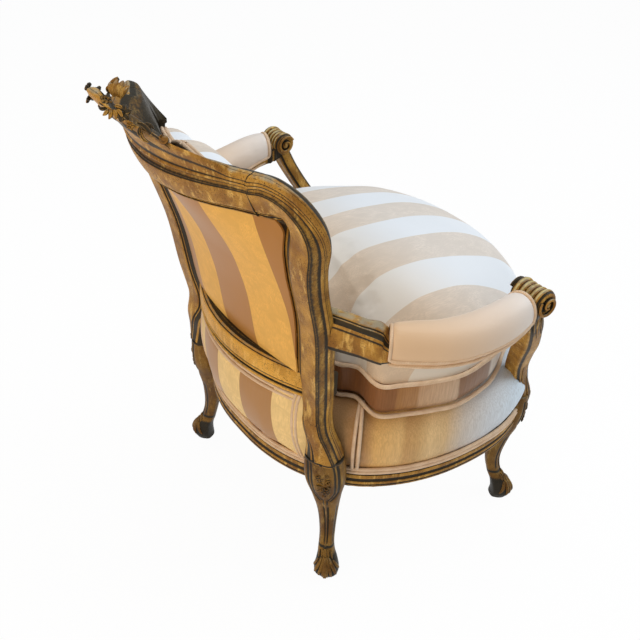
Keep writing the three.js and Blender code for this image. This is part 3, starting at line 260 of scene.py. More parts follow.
def crest_swell(x: float) -> float:
    """How much the crest swells to the rear at x; nothing at its joints."""
    share = max(1 - (x / JOINT_HALF) ** 2, 0.0)
    return 0.022 * share ** 1.5


def lower_rail_rear(x: float) -> float:
    """The rear face of the lower back rail at a given x."""
    share = x / LOWER_HALF
    return back_rear(LOWER_RAIL) + LOWER_PROUD - 0.58 * BACK_BOW * share * share


@dataclass
class Workshop:
    """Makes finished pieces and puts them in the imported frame's place."""

    shift: float
    made: list = field(default_factory=list)

    def mesh_piece(
        self,
        name: str,
        corners: np.ndarray,
        faces: Sequence[Sequence[int]],
        values: Optional[dict] = None,
        crease: float = 40.0,
    ) -> bpy.types.Object:
        """Make an object from corners in the chair's own measure.

        Args:
            name: The piece's name.
            corners: Its corners, before the frame's shift.
            faces: Its faces, as lists of corners.
            values: Named numbers that its material reads, one for each corner.
            crease: Edges that turn more than this many degrees stay sharp.

        Returns:
            The new object.
        """
        mesh = bpy.data.meshes.new(name)
        placed = np.array(corners, dtype=float)
        placed[:, 1] -= self.shift
        mesh.from_pydata(placed.tolist(), [], [list(map(int, face)) for face in faces])
        for key, numbers in (values or {}).items():
            layer = mesh.attributes.new(key, "FLOAT", "POINT")
            layer.data.foreach_set("value", np.asarray(numbers, dtype=np.float32))
        mesh.validate()
        piece = bpy.data.objects.new(name, mesh)
        bpy.context.scene.collection.objects.link(piece)
        self.face_outwards(piece)
        self.smooth(piece, crease)
        self.made.append(piece)
        return piece

    def face_outwards(self, piece: bpy.types.Object) -> None:
        """Turn a closed piece's faces outwards."""
        work = bmesh.new()
        work.from_mesh(piece.data)
        bmesh.ops.recalc_face_normals(work, faces=work.faces)
        if work.calc_volume(signed=True) < 0:
            bmesh.ops.reverse_faces(work, faces=work.faces)
        work.to_mesh(piece.data)
        work.free()

    def smooth(self, piece: bpy.types.Object, crease: float) -> None:
        """Shade a piece smooth, with sharp edges where it turns hard."""
        self.only(piece)
        bpy.ops.object.shade_smooth_by_angle(angle=math.radians(crease))

    def only(self, piece: bpy.types.Object) -> None:
        """Select one piece alone and make it active."""
        bpy.ops.object.select_all(action="DESELECT")
        piece.select_set(True)
        bpy.context.view_layer.objects.active = piece

    def apply(self, piece: bpy.types.Object, kind: str, **settings) -> None:
        """Add a modifier with its settings and apply it at once."""
        self.only(piece)
        step = piece.modifiers.new(kind.title(), kind)
        for key, value in settings.items():
            setattr(step, key, value)
        bpy.ops.object.modifier_apply(modifier=step.name)

    def skin(
        self,
        name: str,
        rings: np.ndarray,
        values: Optional[dict] = None,
        round_trip: bool = False,
        tips: bool = False,
        crease: float = 40.0,
    ) -> bpy.types.Object:
        """Cover rings of points with faces, and close both ends.

        Args:
            name: The piece's name.
            rings: The points, as rings by points by three.
            values: Named numbers for the material, rings by points.
            round_trip: Whether the last ring runs on to the first.
            tips: Whether each end closes to a point, not with a flat face.
            crease: Edges that turn more than this stay sharp.

        Returns:
            The new object.
        """
        count, size = rings.shape[:2]
        corners = rings.reshape(-1, 3)
        numbers = {key: np.asarray(grid).reshape(-1) for key, grid in (values or {}).items()}
        faces = []
        for r in range(count if round_trip else count - 1):
            after = (r + 1) % count
            for i in range(size):
                j = (i + 1) % size
                faces.append((r * size + i, r * size + j, after * size + j, after * size + i))
        if tips:
            ends = [rings[0].mean(0), rings[-1].mean(0)]
            corners = np.vstack([corners, ends])
            numbers = {
                key: np.append(grid, [grid[:size].mean(), grid[-size:].mean()])
                for key, grid in numbers.items()
            }
            first, last = count * size, count * size + 1
            for i in range(size):
                j = (i + 1) % size
                faces.append((first, j, i))
                faces.append((last, (count - 1) * size + i, (count - 1) * size + j))
        elif not round_trip:
            faces.append(tuple(range(size - 1, -1, -1)))
            faces.append(tuple((count - 1) * size + i for i in range(size)))
        return self.mesh_piece(name, corners, faces, numbers, crease)

    def cord(
        self,
        name: str,
        line: np.ndarray,
        radius: float,
        closed: bool = False,
        sides: int = 12,
        values: Optional[dict] = None,
    ) -> bpy.types.Object:
        """Sweep a round cord along a line, without a twist.

        Args:
            name: The piece's name.
            line: The points that the cord's middle follows.
            radius: Its radius.
            closed: Whether it runs round and meets itself.
            sides: How many corners its section has.
            values: Named numbers for the material, one for each.

        Returns:
            The new object.
        """
        along = np.roll(line, -1, 0) - np.roll(line, 1, 0)
        if not closed:
            along[0], along[-1] = line[1] - line[0], line[-1] - line[-2]
        along /= np.linalg.norm(along, axis=1)[:, None]
        up = np.tile([0.0, 0.0, 1.0], (len(line), 1))
        steep = np.abs(along[:, 2]) > 0.9
        if steep.any():
            up[:] = [1.0, 0.0, 0.0]
        across = np.cross(along, up)
        across /= np.linalg.norm(across, axis=1)[:, None]
        over = np.cross(across, along)
        turn = 2 * np.pi * np.arange(sides) / sides
        ring = across[:, None] * np.cos(turn)[None, :, None] + over[:, None] * np.sin(turn)[None, :, None]
        rings = line[:, None] + radius * ring
        run = np.concatenate([[0], np.cumsum(np.linalg.norm(np.diff(line, axis=0), axis=1))])
        grids = {"run": np.tile(run[:, None], (1, sides)), "turn": np.tile(turn / (2 * np.pi), (len(line), 1))}
        for key, value in (values or {}).items():
            grids[key] = np.full((len(line), sides), value)
        return self.skin(name, rings, grids, round_trip=closed, crease=70.0)
# The frame's moulding. Each row is the place on the coarse section, then across from the
# inner edge and in from the rear face on the stile, the same on the crest, and how dark
# the glaze lies there.
# Glaze below zero gives the pale bead colour: worn gilding with a painted highlight.
MOULDING = np.array([
    (0, 0.0, 1, 0, 1, 0.8), (0.4, 0.0, 0.7, 0, 0.6, 0.9), (0.8, 0.0, 0.38, 0, 0.22, 1),
    (1.0, 0.015, 0.29, 0.004, 0.12, 0.9), (1.3, 0.06, 0.25, 0.012, 0.06, 0.3),
    (1.6, 0.11, 0.235, 0.028, 0.045, 0), (1.9, 0.16, 0.21, 0.040, 0.075, 0.8),
    (2.2, 0.21, 0.175, 0.052, 0.12, 1), (2.5, 0.255, 0.145, 0.064, 0.12, 0.9),
    (2.8, 0.29, 0.115, 0.074, 0.075, 0.8), (3.0, 0.305, 0.092, 0.080, 0.045, 0.15),
    (3.2, 0.318, 0.085, 0.088, 0.038, 0.05), (3.4, 0.330, 0.098, 0.097, 0.05, 0.5),
    (3.6, 0.342, 0.12, 0.106, 0.10, 1), (3.8, 0.354, 0.12, 0.114, 0.10, 1),
    (4.0, 0.366, 0.07, 0.119, 0.05, 0.9), (4.2, 0.378, 0.022, 0.126, 0.015, 0.3),
    (4.5, 0.40, 0.004, 0.140, 0.003, 0), (4.9, 0.47, -0.003, 0.18, -0.002, 0),
    (5.3, 0.58, -0.006, 0.26, -0.005, 0), (5.7, 0.69, -0.007, 0.34, -0.006, 0),
    (6.1, 0.82, -0.005, 0.43, -0.005, 0), (6.5, 0.91, 0, 0.52, 0, 0),
    (6.7, 0.938, 0.010, 0.56, 0.006, 0.2), (6.85, 0.948, 0.045, 0.572, 0.03, 1),
    (7.0, 0.957, 0.060, 0.582, 0.045, 1), (7.1, 0.962, 0.062, 0.592, 0.05, 0.5),
    (7.25, 0.968, 0.085, 0.60, 0.052, 0.6), (7.4, 0.973, 0.13, 0.612, 0.075, 0.7),
    (7.6, 0.977, 0.20, 0.628, 0.10, 0.5), (7.8, 0.979, 0.29, 0.65, 0.115, 0.42),
    (8.0, 0.98, 0.38, 0.672, 0.115, 0.45), (8.2, 0.981, 0.46, 0.69, 0.10, 0.7),
    (8.35, 0.983, 0.53, 0.703, 0.075, 0.9), (8.5, 0.988, 0.575, 0.715, 0.048, 0.25),
    (8.7, 0.996, 0.61, 0.735, 0.035, -0.35), (8.9, 1.000, 0.65, 0.753, 0.05, -0.35),
    (9.05, 0.999, 0.675, 0.764, 0.085, 0.5), (9.15, 0.997, 0.69, 0.772, 0.105, 1),
    (9.3, 0.996, 0.705, 0.785, 0.105, 0.35), (9.5, 0.995, 0.72, 0.806, 0.12, 0.2),
    (9.7, 0.993, 0.74, 0.828, 0.145, 0.25), (9.85, 0.990, 0.755, 0.846, 0.18, 0.8),
    (9.95, 0.988, 0.765, 0.856, 0.195, 0.5), (10.1, 0.987, 0.78, 0.872, 0.205, 0.05),
    (10.3, 0.985, 0.80, 0.90, 0.245, 0), (10.5, 0.982, 0.82, 0.928, 0.30, 0),
    (10.7, 0.978, 0.84, 0.952, 0.375, 0), (10.8, 0.976, 0.852, 0.966, 0.44, 0.2),
    (10.9, 0.975, 0.862, 0.978, 0.50, 0.6), (11.05, 0.974, 0.875, 0.990, 0.545, -0.2),
    (11.2, 0.970, 0.89, 1.0, 0.60, -0.1), (11.35, 0.964, 0.905, 0.998, 0.66, 0.6),
    (11.5, 0.957, 0.918, 0.990, 0.70, 1), (11.7, 0.948, 0.935, 0.982, 0.75, 0.8),
    (12, 0.935, 0.95, 0.968, 0.81, 0.75), (12.3, 0.92, 0.965, 0.95, 0.87, 0.6),
    (12.6, 0.90, 0.98, 0.92, 0.94, 0.6), (12.8, 0.88, 0.995, 0.89, 0.985, 0.6),
    (13, 0.84, 1, 0.84, 1, 0.7), (13.5, 0.46, 1, 0.42, 1, 0.9),
])
LEG_SHARES = [
    (0.08, 0.86), (0, 0.6), (0.03, 0.36), (0.12, 0.2), (0.26, 0.12), (0.4, 0.08), (0.5, 0),
    (0.6, 0.08), (0.74, 0.12), (0.88, 0.2), (0.97, 0.36), (1, 0.6), (0.92, 0.86), (0.5, 1),
]
REAR_LEG = [
    (0, 1, 1, 0.86, 0.86), (0.07, 1.016, 1.016, 1, 1), (0.17, 1, 1.005, 0.84, 0.86),
    (0.29, 0.955, 0.98, 0.6, 0.63), (0.47, 0.925, 0.955, 0.59, 0.62), (0.71, 0.907, 0.95, 0.76, 0.82),
]
REAR_KNEE = [
    (0.45, 0.91, 0.978, 0.74, 0.66, 1, 1), (0.55, 0.918, 1.01, 1, 0.75, 1, 1),
    (0.65, 0.914, 1.027, 0.98, 0.72, 0.95, 1), (0.74, 0.898, 1.045, 0.8, 0.64, 0.65, 0.85),
    (0.83, 0.85, 1.076, 0.76, 0.58, 0.3, 0.45),
]
STILE = [(0.758, 0.441, 0.98), (0.8, 0.517, 1), (0.848, 0.623, 1), (0.895, 0.718, 1), (0.938, 0.775, 1)]
SHOULDER_TURN = [(0, 0, 0.982), (0.25, 0.05, 0.988), (0.5, 0.12, 0.995), (0.75, 0.07, 1), (1, 0, 1)]
FRONT_LEG = [
    (0, 1, 1, 0.86, 0.86), (0.07, 1.012, 1.016, 1, 1), (0.18, 0.99, 0.99, 0.82, 0.84),
    (0.31, 0.948, 0.94, 0.58, 0.61), (0.5, 0.923, 0.915, 0.61, 0.64), (0.74, 0.928, 0.945, 0.79, 0.81),
]
FRONT_KNEE = [
    (0.97, 0.948, 1, 0.84, 0.66), (1.14, 0.955, 1.03, 0.94, 0.7),
    (1.33, 0.955, 1.035, 0.84, 0.64),
]
LEG_CURVE = smooth_rows(LEG_SHARES, 560, closed=True)
KNEE_TOP = 0.302


def leg_section(places: np.ndarray) -> np.ndarray:
    """The leg's smooth section at places that run from 0 to 14."""
    steps = np.arange(561) / 40
    loop = np.vstack([LEG_CURVE, LEG_CURVE[:1]])
    return np.column_stack([np.interp(places, steps, loop[:, k]) for k in (0, 1)])


def moulding(crest: float) -> tuple:
    """The moulded section and its glaze, from the stile's to the crest's.

    Args:
        crest: How far the section is the crest's, from 0 to 1.

    Returns:
        The section's points and the glaze at each.
    """
    return MOULDING[:, 1:3] * (1 - crest) + MOULDING[:, 3:5] * crest, MOULDING[:, 5]


@dataclass(frozen=True)
class Spot:
    """A place on the carved ground: its middle and its ways right, up and out."""

    middle: tuple
    out: tuple
    upward: tuple = (0, 0, 1)

    def ways(self) -> np.ndarray:
        """The three ways at the place, as rows."""
        out = np.array(self.out, dtype=float)
        out /= np.linalg.norm(out)
        right = np.cross(np.array(self.upward, dtype=float), out)
        right /= np.linalg.norm(right)
        return np.array([right, np.cross(out, right), out])

    def points(self, local: np.ndarray) -> np.ndarray:
        """Points given in millimetres along the three ways."""
        return np.array(self.middle) + np.asarray(local, dtype=float) / 1000 @ self.ways()


@dataclass
class Carver:
    """Gathers small carved forms and joins them into one piece."""

    shop: Workshop
    corners: list = field(default_factory=list)
    faces: list = field(default_factory=list)
    glaze: list = field(default_factory=list)

    def form(
        self,
        line: np.ndarray,
        outward: np.ndarray,
        width: np.ndarray,
        tall: np.ndarray,
        groove: float = 0.3,
        dark: float = 0.0,
        sides: int = 14,
    ) -> None:
        """Add one long form: a leaf, a petal, a lobe, a curl or a berry.

        Args:
            line: Its middle line.
            outward: The way out of the ground, one or one at each point.
            width: Its whole width at each point.
            tall: How far it stands out at each point.
            groove: How deep the vein along its top is, as a share of its height.
            dark: How much glaze lies on its top.
            sides: How many corners its section has.
        """
        along = np.gradient(line, axis=0)
        along /= np.linalg.norm(along, axis=1)[:, None] + 1e-12
        outward = np.broadcast_to(np.asarray(outward, dtype=float), line.shape)
        across = np.cross(along, outward)
        across /= np.linalg.norm(across, axis=1)[:, None] + 1e-12
        over = np.cross(across, along)
        turn = 2 * np.pi * np.arange(sides) / sides
        ridge = np.exp(-((np.cos(turn) / 0.32) ** 2)) * (np.sin(turn) > 0)
        lift = np.sin(turn) * (1 - groove * ridge)
        ring = across[:, None] * (np.cos(turn)[None, :, None] * width[:, None, None] / 2)
        ring = ring + over[:, None] * (lift[None, :, None] * tall[:, None, None])
        shade = np.clip(dark + 1.25 * np.clip(0.75 - np.sin(turn), 0, 1) + 1.6 * groove * ridge, 0, 1)
        points = (line[:, None] + ring).reshape(-1, 3)
        count = len(line)
        start = len(self.corners)
        self.corners += points.tolist() + [line[0].tolist(), line[-1].tolist()]
        self.glaze += np.tile(shade, count).tolist() + [1.0, 0.6]
        first, last = start + count * sides, start + count * sides + 1
        for r in range(count - 1):
            for i in range(sides):
                j = (i + 1) % sides
                a, b = start + r * sides, start + (r + 1) * sides
                self.faces.append((a + i, a + j, b + j, b + i))
        for i in range(sides):
            j = (i + 1) % sides
            self.faces.append((first, start + j, start + i))
            end = start + (count - 1) * sides
            self.faces.append((last, end + i, end + j))

    def leaf(
        self,
        spot: Spot,
        start: tuple,
        end: tuple,
        width: float,
        tall: float = 3.0,
        bow: float = 0.0,
        rise: float = 1.5,
        tip: float = 0.0,
        groove: float = 0.45,
        dark: float = 0.0,
    ) -> None:
        """Add a leaf or a petal between two places on a spot, in millimetres."""
        share = np.linspace(0, 1, 11)[:, None]
        first, second = np.array(start, dtype=float), np.array(end, dtype=float)
        run = second - first
        aside = np.array([-run[1], run[0]]) * bow
        flat = first + run * share + aside * 4 * share * (1 - share)
        height = rise * np.sin(math.pi * share) + tip * share ** 2
        shape = np.sin(math.pi * np.clip(share[:, 0] * 0.9 + 0.07, 0, 1)) ** 0.75
        line = spot.points(np.hstack([flat, height]))
        self.form(line, spot.ways()[2], width / 1000 * shape, tall / 1000 * (0.35 + 0.65 * shape), groove, dark)

    def berry(self, spot: Spot, at: tuple, radius: float, dark: float = 0.3) -> None:
        """Add a round berry at a place on a spot, in millimetres."""
        share = np.linspace(-0.98, 0.98, 9)
        reach = np.sqrt(1 - share ** 2)
        local = np.column_stack([at[0] + share * radius, np.full(9, at[1]), np.full(9, at[2])])
        size = radius / 1000 * reach
        self.form(spot.points(local), spot.ways()[2], 2 * size, size, 0.0, dark)

    def flower(self, spot: Spot, at: tuple, radius: float, petals: int = 5, dark: float = 0.0, turn: float = 0.3) -> None:
        """Add an open flower at a place on a spot, in millimetres."""
        for k in range(petals):
            angle = turn + 2 * math.pi * k / petals
            way = np.array([math.cos(angle), math.sin(angle)])
            start = np.array(at[:2]) + way * radius * 0.12
            end = np.array(at[:2]) + way * radius
            self.leaf(spot, tuple(start), tuple(end), radius * 0.85, radius * 0.3, 0, radius * 0.16, 0.4, 0.5, dark)
        self.berry(spot, (at[0], at[1], radius * 0.22), radius * 0.25, dark + 0.2)

    def curl(self, spot: Spot, at: tuple, radius: float, turns: float, start: float, thick: float, dark: float = 0.0) -> None:
        """Add a spiral curl at a place on a spot, in millimetres."""
        share = np.linspace(0, 1, 30)
        angle = start + 2 * math.pi * turns * share
        reach = radius * (1 - 0.8 * share)
        local = np.column_stack([
            at[0] + reach * np.cos(angle), at[1] + reach * np.sin(angle), 1.2 + 1.6 * share,
        ])
        size = thick / 1000 * (0.55 + 0.45 * np.sin(math.pi * np.clip(share + 0.15, 0, 1)))
        self.form(spot.points(local), spot.ways()[2], size, size * 0.6, 0.0, dark, 10)

    def mirror(self) -> None:
        """Add the mirror image of all that is carved, across the chair's middle."""
        start = len(self.corners)
        self.corners += [[-x, y, z] for x, y, z in self.corners]
        self.glaze += list(self.glaze)
        self.faces += [tuple(start + i for i in reversed(face)) for face in self.faces]

    def piece(self, name: str) -> bpy.types.Object:
        """Join what is carved into one piece."""
        return self.shop.mesh_piece(name, np.array(self.corners), self.faces, {"glaze": self.glaze}, 60.0)


@dataclass(frozen=True)
class LegSkin:
    """A leg's surface, for the carving that lies on it."""

    rings: np.ndarray

    def at(self, place: float, height: float, lift: float = 0.0) -> tuple:
        """A point on the leg and its way out, by the place round it and the height."""
        levels = self.rings[:, :, 2].mean(1)
        row = float(np.interp(height, levels, np.arange(len(levels))))
        low = min(int(row), len(levels) - 2)
        ring = self.rings[low] * (1 - row + low) + self.rings[low + 1] * (row - low)
        around = (place % 14) / 14 * len(ring)
        first = int(around) % len(ring)
        part = around - int(around)
        point = ring[first] * (1 - part) + ring[(first + 1) % len(ring)] * part
        out = point - ring.mean(0)
        out[2] = 0
        out /= np.linalg.norm(out)
        return point + out * lift, out

    def lobe(self, carver: Carver, start: tuple, end: tuple, width: float, tall: float, dark: float = 0.0, groove: float = 0.0) -> None:
        """Carve a lobe on the leg from one place and height to another."""
        share = np.linspace(0, 1, 12)
        found = [self.at(start[0] + (end[0] - start[0]) * s, start[1] + (end[1] - start[1]) * s) for s in share]
        line = np.array([point for point, _ in found])
        out = np.array([way for _, way in found])
        shape = np.sin(math.pi * np.clip(share * 0.86 + 0.09, 0, 1)) ** 0.7
        carver.form(line, out, width * shape, tall * shape, groove, dark)

    def foot(self, carver: Carver) -> None:
        """Carve the scrolled foot: flutes down its front and curls beside them."""
        for place in (5.15, 5.72, 6.28, 6.85):
            self.lobe(carver, (6 + (place - 6) * 0.55, 0.050), (6 + (place - 6) * 1.25, 0.007), 0.0062, 0.0032)
        for side in (-1, 1):
            self.lobe(carver, (6 + side * 0.9, 0.050), (6 + side * 2.2, 0.010), 0.0085, 0.0042)
            self.lobe(carver, (6 + side * 1.8, 0.048), (6 + side * 3.6, 0.012), 0.0095, 0.0042, 0.1)
            self.lobe(carver, (6 + side * 3.0, 0.044), (6 + side * 5.0, 0.016), 0.009, 0.003, 0.2)
            self.lobe(carver, (6 + side * 0.45, 0.066), (6 + side * 0.5, 0.050), 0.0055, 0.0030, 0.1)
            self.lobe(carver, (6 + side * 1.4, 0.064), (6 + side * 1.6, 0.048), 0.0058, 0.0030, 0.2)
            self.lobe(carver, (6 + side * 2.6, 0.060), (6 + side * 2.9, 0.046), 0.006, 0.0026, 0.3)

    def knee(self, carver: Carver, middle: float, sign: int) -> None:
        """Carve two flowers and their leaves inside the knee's shield."""
        point, out = self.at(6, middle)
        spot = Spot(tuple(point - out * 0.001), tuple(out))
        carver.flower(spot, (-7.5 * sign, 17.5, 0), 8.5, 5, 0.15, 0.2)
        carver.flower(spot, (4 * sign, -13, 0), 9.5, 5, 0.2, 0.7)
        carver.flower(spot, (5 * sign, 24.5, 0), 5.2, 5, 0.1, 0.0)
        carver.curl(spot, (9.5 * sign, 10, 0), 5.8, 1.1, 1.2, 3.4)
        carver.leaf(spot, (-2 * sign, 0), (13 * sign, 17), 4.6, 2.4, -0.22 * sign)
        carver.leaf(spot, (1 * sign, 1), (-13 * sign, -2), 5.4, 2.4, 0.2 * sign, dark=0.1)
        carver.leaf(spot, (0, 3), (-12 * sign, 8), 4.4, 2.2, -0.15 * sign, dark=0.1)
        carver.leaf(spot, (-3 * sign, -7), (-11 * sign, -15), 4.8, 2.2, 0.2 * sign)
        carver.leaf(spot, (5 * sign, -3), (13.5 * sign, -5), 4.6, 2.2, 0.2 * sign, dark=0.15)
        carver.leaf(spot, (1 * sign, -20), (-3.5 * sign, -31), 5.4, 2.6, 0.15 * sign)
        carver.leaf(spot, (2 * sign, -20), (6 * sign, -28), 4.2, 2.2, -0.15 * sign, dark=0.15)


def leg_relief(places: np.ndarray, z: float, calf_top: float, knee: tuple) -> tuple:
    """The sunk work on a leg: the grooves of its calf and the shield on its knee.

    Args:
        places: The places round the leg.
        z: The ring's height.
        calf_top: Where the calf's grooves end.
        knee: The shield's lowest and highest point.

    Returns:
        The inward share and the glaze at each place.
    """
    sunk = np.zeros(len(places))
    dark = np.full(len(places), 0.05)
    apart = places - 6

    def furrow(offset: float, width: float, deep: float, shade: float) -> None:
        for side in (-1, 1):
            hill = np.exp(-(((apart - side * offset) / width) ** 2))
            sunk[:] += deep * hill
            dark[:] = np.maximum(dark, shade * hill)

    calf = ease(z, 0.066, 0.084) * (1 - ease(z, calf_top - 0.014, calf_top))
    furrow(0.85, 0.42, 0.13 * calf, 1.1 * calf)
    furrow(3.55, 0.35, 0.05 * calf, 0.9 * calf)
    low, high = knee
    inside = 0.0
    if low < z < high:
        reach = 2.35 * math.sqrt(min((z - low) / 0.030, 1.0))
        inside = ease(z, low, low + 0.006)
        furrow(reach, 0.20, 0.055 * inside, 1.1 * inside)
        furrow(reach + 0.75, 0.34, 0.10 * inside, 1.05 * inside)
        flat = np.clip(1 - (np.abs(apart) / 1.5), 0, 1)
        sunk += 0.15 * inside * flat
        dark = np.maximum(dark, 0.3 * inside * (np.abs(apart) < reach))
    tail = ease(z, calf_top - 0.01, low) * (1 - ease(z, low, low + 0.02))
    furrow(0.7, 0.35, 0.05 * tail, 0.9 * tail)
    ankle = bump(z, 0.0685, 0.004)
    dark = np.maximum(dark, ankle * 0.9)
    foot = 1 - ease(z, 0.046, 0.062)
    sunk += 0.06 * foot
    dark = np.maximum(dark, 0.75 * foot)
    return sunk, dark


@dataclass
class RearPost:
    """A rear post: cabriole leg, carved knee, and the moulded stile up to the crest."""

    shop: Workshop
    side: Side
    steps: int = 380
    leg_corners: int = 168

    def rows(self) -> list:
        """The post's stations: place, size, turn, the share of leg and of crest."""
        corner = math.pi / 4
        rows = [
            (x * REAR_FOOT[0], y * REAR_FOOT[1], h * RAIL_LOW, w * FOOT_WIDTH, d * FOOT_WIDTH, corner, 1, 0)
            for h, x, y, w, d in REAR_LEG
        ]
        rows += [
            (x * REAR_FOOT[0], y * REAR_FOOT[1], h * LOWER_RAIL, w * KNEE_WIDTH, d * KNEE_WIDTH, t * corner, g, 0)
            for h, x, y, w, d, t, g in REAR_KNEE
        ]
        for x_share, h_share, w_share in STILE:
            x, z = x_share * SHOULDER_HALF, h_share * CREST_HEIGHT
            y = back_face(x, z) - STILE_DEPTH / 2
            rows.append((x, y, z, w_share * STILE_WIDTH, STILE_DEPTH, 0, 0, 0))
        for turn, swell, narrow in SHOULDER_TURN[:-1]:
            radius = SHOULDER_RADIUS + swell * STILE_WIDTH / 2
            x = (SHOULDER_HALF - SHOULDER_RADIUS + radius * math.cos(turn * math.pi / 2)) * narrow
            z = SHOULDER_SHARE * CREST_HEIGHT - SHOULDER_RADIUS + radius * math.sin(turn * math.pi / 2)
            width = (1 + swell) * STILE_WIDTH
            crest = 0.15 + 0.8 * turn
            rows.append((x, back_face(x, z) - STILE_DEPTH / 2, z, width, STILE_DEPTH, 0, 0, crest))
        end, z = JOINT_HALF + FIT_GAP / 2, SHOULDER_SHARE * CREST_HEIGHT
        rows.append((end, back_face(end, z) - STILE_DEPTH / 2, z, STILE_WIDTH, STILE_DEPTH, 0, 0, 1))
        return rows

    def ring(self, station: np.ndarray, across: Vector, section: np.ndarray) -> np.ndarray:
        """One ring of the post from its section, which runs across and in from the rear."""
        x, y, z, width, depth, turn, leg, _ = station
        lean = (back_rear(z + 0.002) - back_rear(z - 0.002)) / 0.004
        side = (section[:, 0] - 0.5) * width
        back = (0.5 - section[:, 1]) * depth
        turned = side * math.cos(turn) + back * math.sin(turn)
        behind = back * math.cos(turn) - side * math.sin(turn)
        rise = turned * across.y
        return np.column_stack([
            self.side.value * (x + turned * across.x), y + behind + (1 - leg) * lean * rise, z + rise,
        ])

    def stile_ring(self, station: np.ndarray, across: Vector) -> tuple:
        """A ring of the moulded stile, which grows out of the knee."""
        section, glaze = moulding(float(np.clip(station[7], 0, 1)))
        share = 0.45 * station[6]
        section = section * (1 - share) + leg_section(MOULDING[:, 0]) * share
        near = bump(station[2], KNEE_TOP, 0.0022)
        return self.ring(station, across, section), np.maximum(glaze, near)

    def leg_ring(self, station: np.ndarray, across: Vector) -> tuple:
        """A ring of the carved leg."""
        places = np.arange(self.leg_corners) / self.leg_corners * 14
        sunk, dark = leg_relief(places, station[2], 0.185, (0.192, KNEE_TOP - 0.004))
        section = leg_section(places)
        section += (np.array([0.5, 0.5]) - section) * sunk[:, None]
        dark = np.maximum(dark, bump(station[2], KNEE_TOP, 0.003))
        return self.ring(station, across, section), dark

    def build(self) -> list:
        """Make the stile, the leg and the carving on it."""
        stations = smooth_rows(self.rows(), self.steps)
        stations[:, 6] = np.clip(stations[:, 6], 0, 1)
        stile, leg = [], []
        for i, station in enumerate(stations):
            before, after = stations[max(i - 1, 0)], stations[min(i + 1, len(stations) - 1)]
            run = Vector((after[0] - before[0], after[2] - before[2])).normalized()
            across = Vector((run.y, -run.x)).lerp(Vector((1, 0)), station[6])
            if i == len(stations) - 1:
                across = Vector((0, 1))
            if station[2] <= KNEE_TOP + 0.002:
                leg.append(self.leg_ring(station, across))
            if station[2] >= KNEE_TOP - 0.004:
                stile.append(self.stile_ring(station, across))
        made = []
        for word, grid in (("stile", stile), ("leg", leg)):
            rings = np.array([points for points, _ in grid])
            glaze = np.array([dark for _, dark in grid])
            made.append(self.shop.skin(f"rear_{word}_{self.side.label}", rings, {"glaze": glaze}))
            if word == "leg":
                skin = LegSkin(rings)
        carver = Carver(self.shop)
        skin.foot(carver)
        skin.knee(carver, 0.2475, -self.side.value)
        made.append(carver.piece(f"rear_carving_{self.side.label}"))
        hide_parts(f"rear_post_{self.side.label}")
        return made


@dataclass
class FrontLeg:
    """A front leg: a cabriole with its knee turned to the front corner."""

    shop: Workshop
    side: Side
    steps: int = 170
    corners: int = 168

    def build(self) -> list:
        """Make the leg and its carving."""
        rows = [
            (x * FRONT_FOOT[0], -y * FRONT_FOOT[1], h * RAIL_LOW, w * FOOT_WIDTH, d * FOOT_WIDTH)
            for h, x, y, w, d in FRONT_LEG
        ]
        rows += [
            (x * FRONT_FOOT[0], -y * FRONT_FOOT[1], h * RAIL_LOW, w * KNEE_WIDTH, d * KNEE_WIDTH)
            for h, x, y, w, d in FRONT_KNEE
        ]
        places = np.arange(self.corners) / self.corners * 14
        rings, darks = [], []
        for x, y, z, width, depth in smooth_rows(rows, self.steps):
            sunk, dark = leg_relief(places, z, 0.182, (0.188, 0.272))
            section = leg_section(places)
            section += (np.array([0.5, 0.5]) - section) * sunk[:, None]
            side = (section[:, 0] - 0.5) * width
            front = (0.5 - section[:, 1]) * depth
            lean = math.sqrt(0.5)
            rings.append(np.column_stack([
                self.side.value * (x + lean * (side + front)), y + lean * (side - front),
                np.full(len(places), z),
            ]))
            darks.append(dark)
        rings = np.array(rings)
        piece = self.shop.skin(f"front_cabriole_{self.side.label}", rings, {"glaze": np.array(darks)})
        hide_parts(f"front_leg_{self.side.label}")
        carver = Carver(self.shop)
        skin = LegSkin(rings)
        skin.foot(carver)
        skin.knee(carver, 0.232, -self.side.value)
        return [piece, carver.piece(f"front_carving_{self.side.label}")]


CREST_HALF = [
    (0, -0.05, 2.2, 1), (0.07, -0.05, 2.18, 0.95), (0.14, -0.045, 2.08, 0.66), (0.2, -0.04, 1.94, 0.4),
    (0.25, -0.04, 1.76, 0.12), (0.31, -0.04, 1.63, 0), (0.5, -0.03, 1.44, 0), (0.65, -0.02, 1.34, 0),
    (0.76, -0.01, 1.22, 0), (0.81, 0, 1.1, 0), (0.86, 0, 1, 0), (1, 0, 1, 0),
]


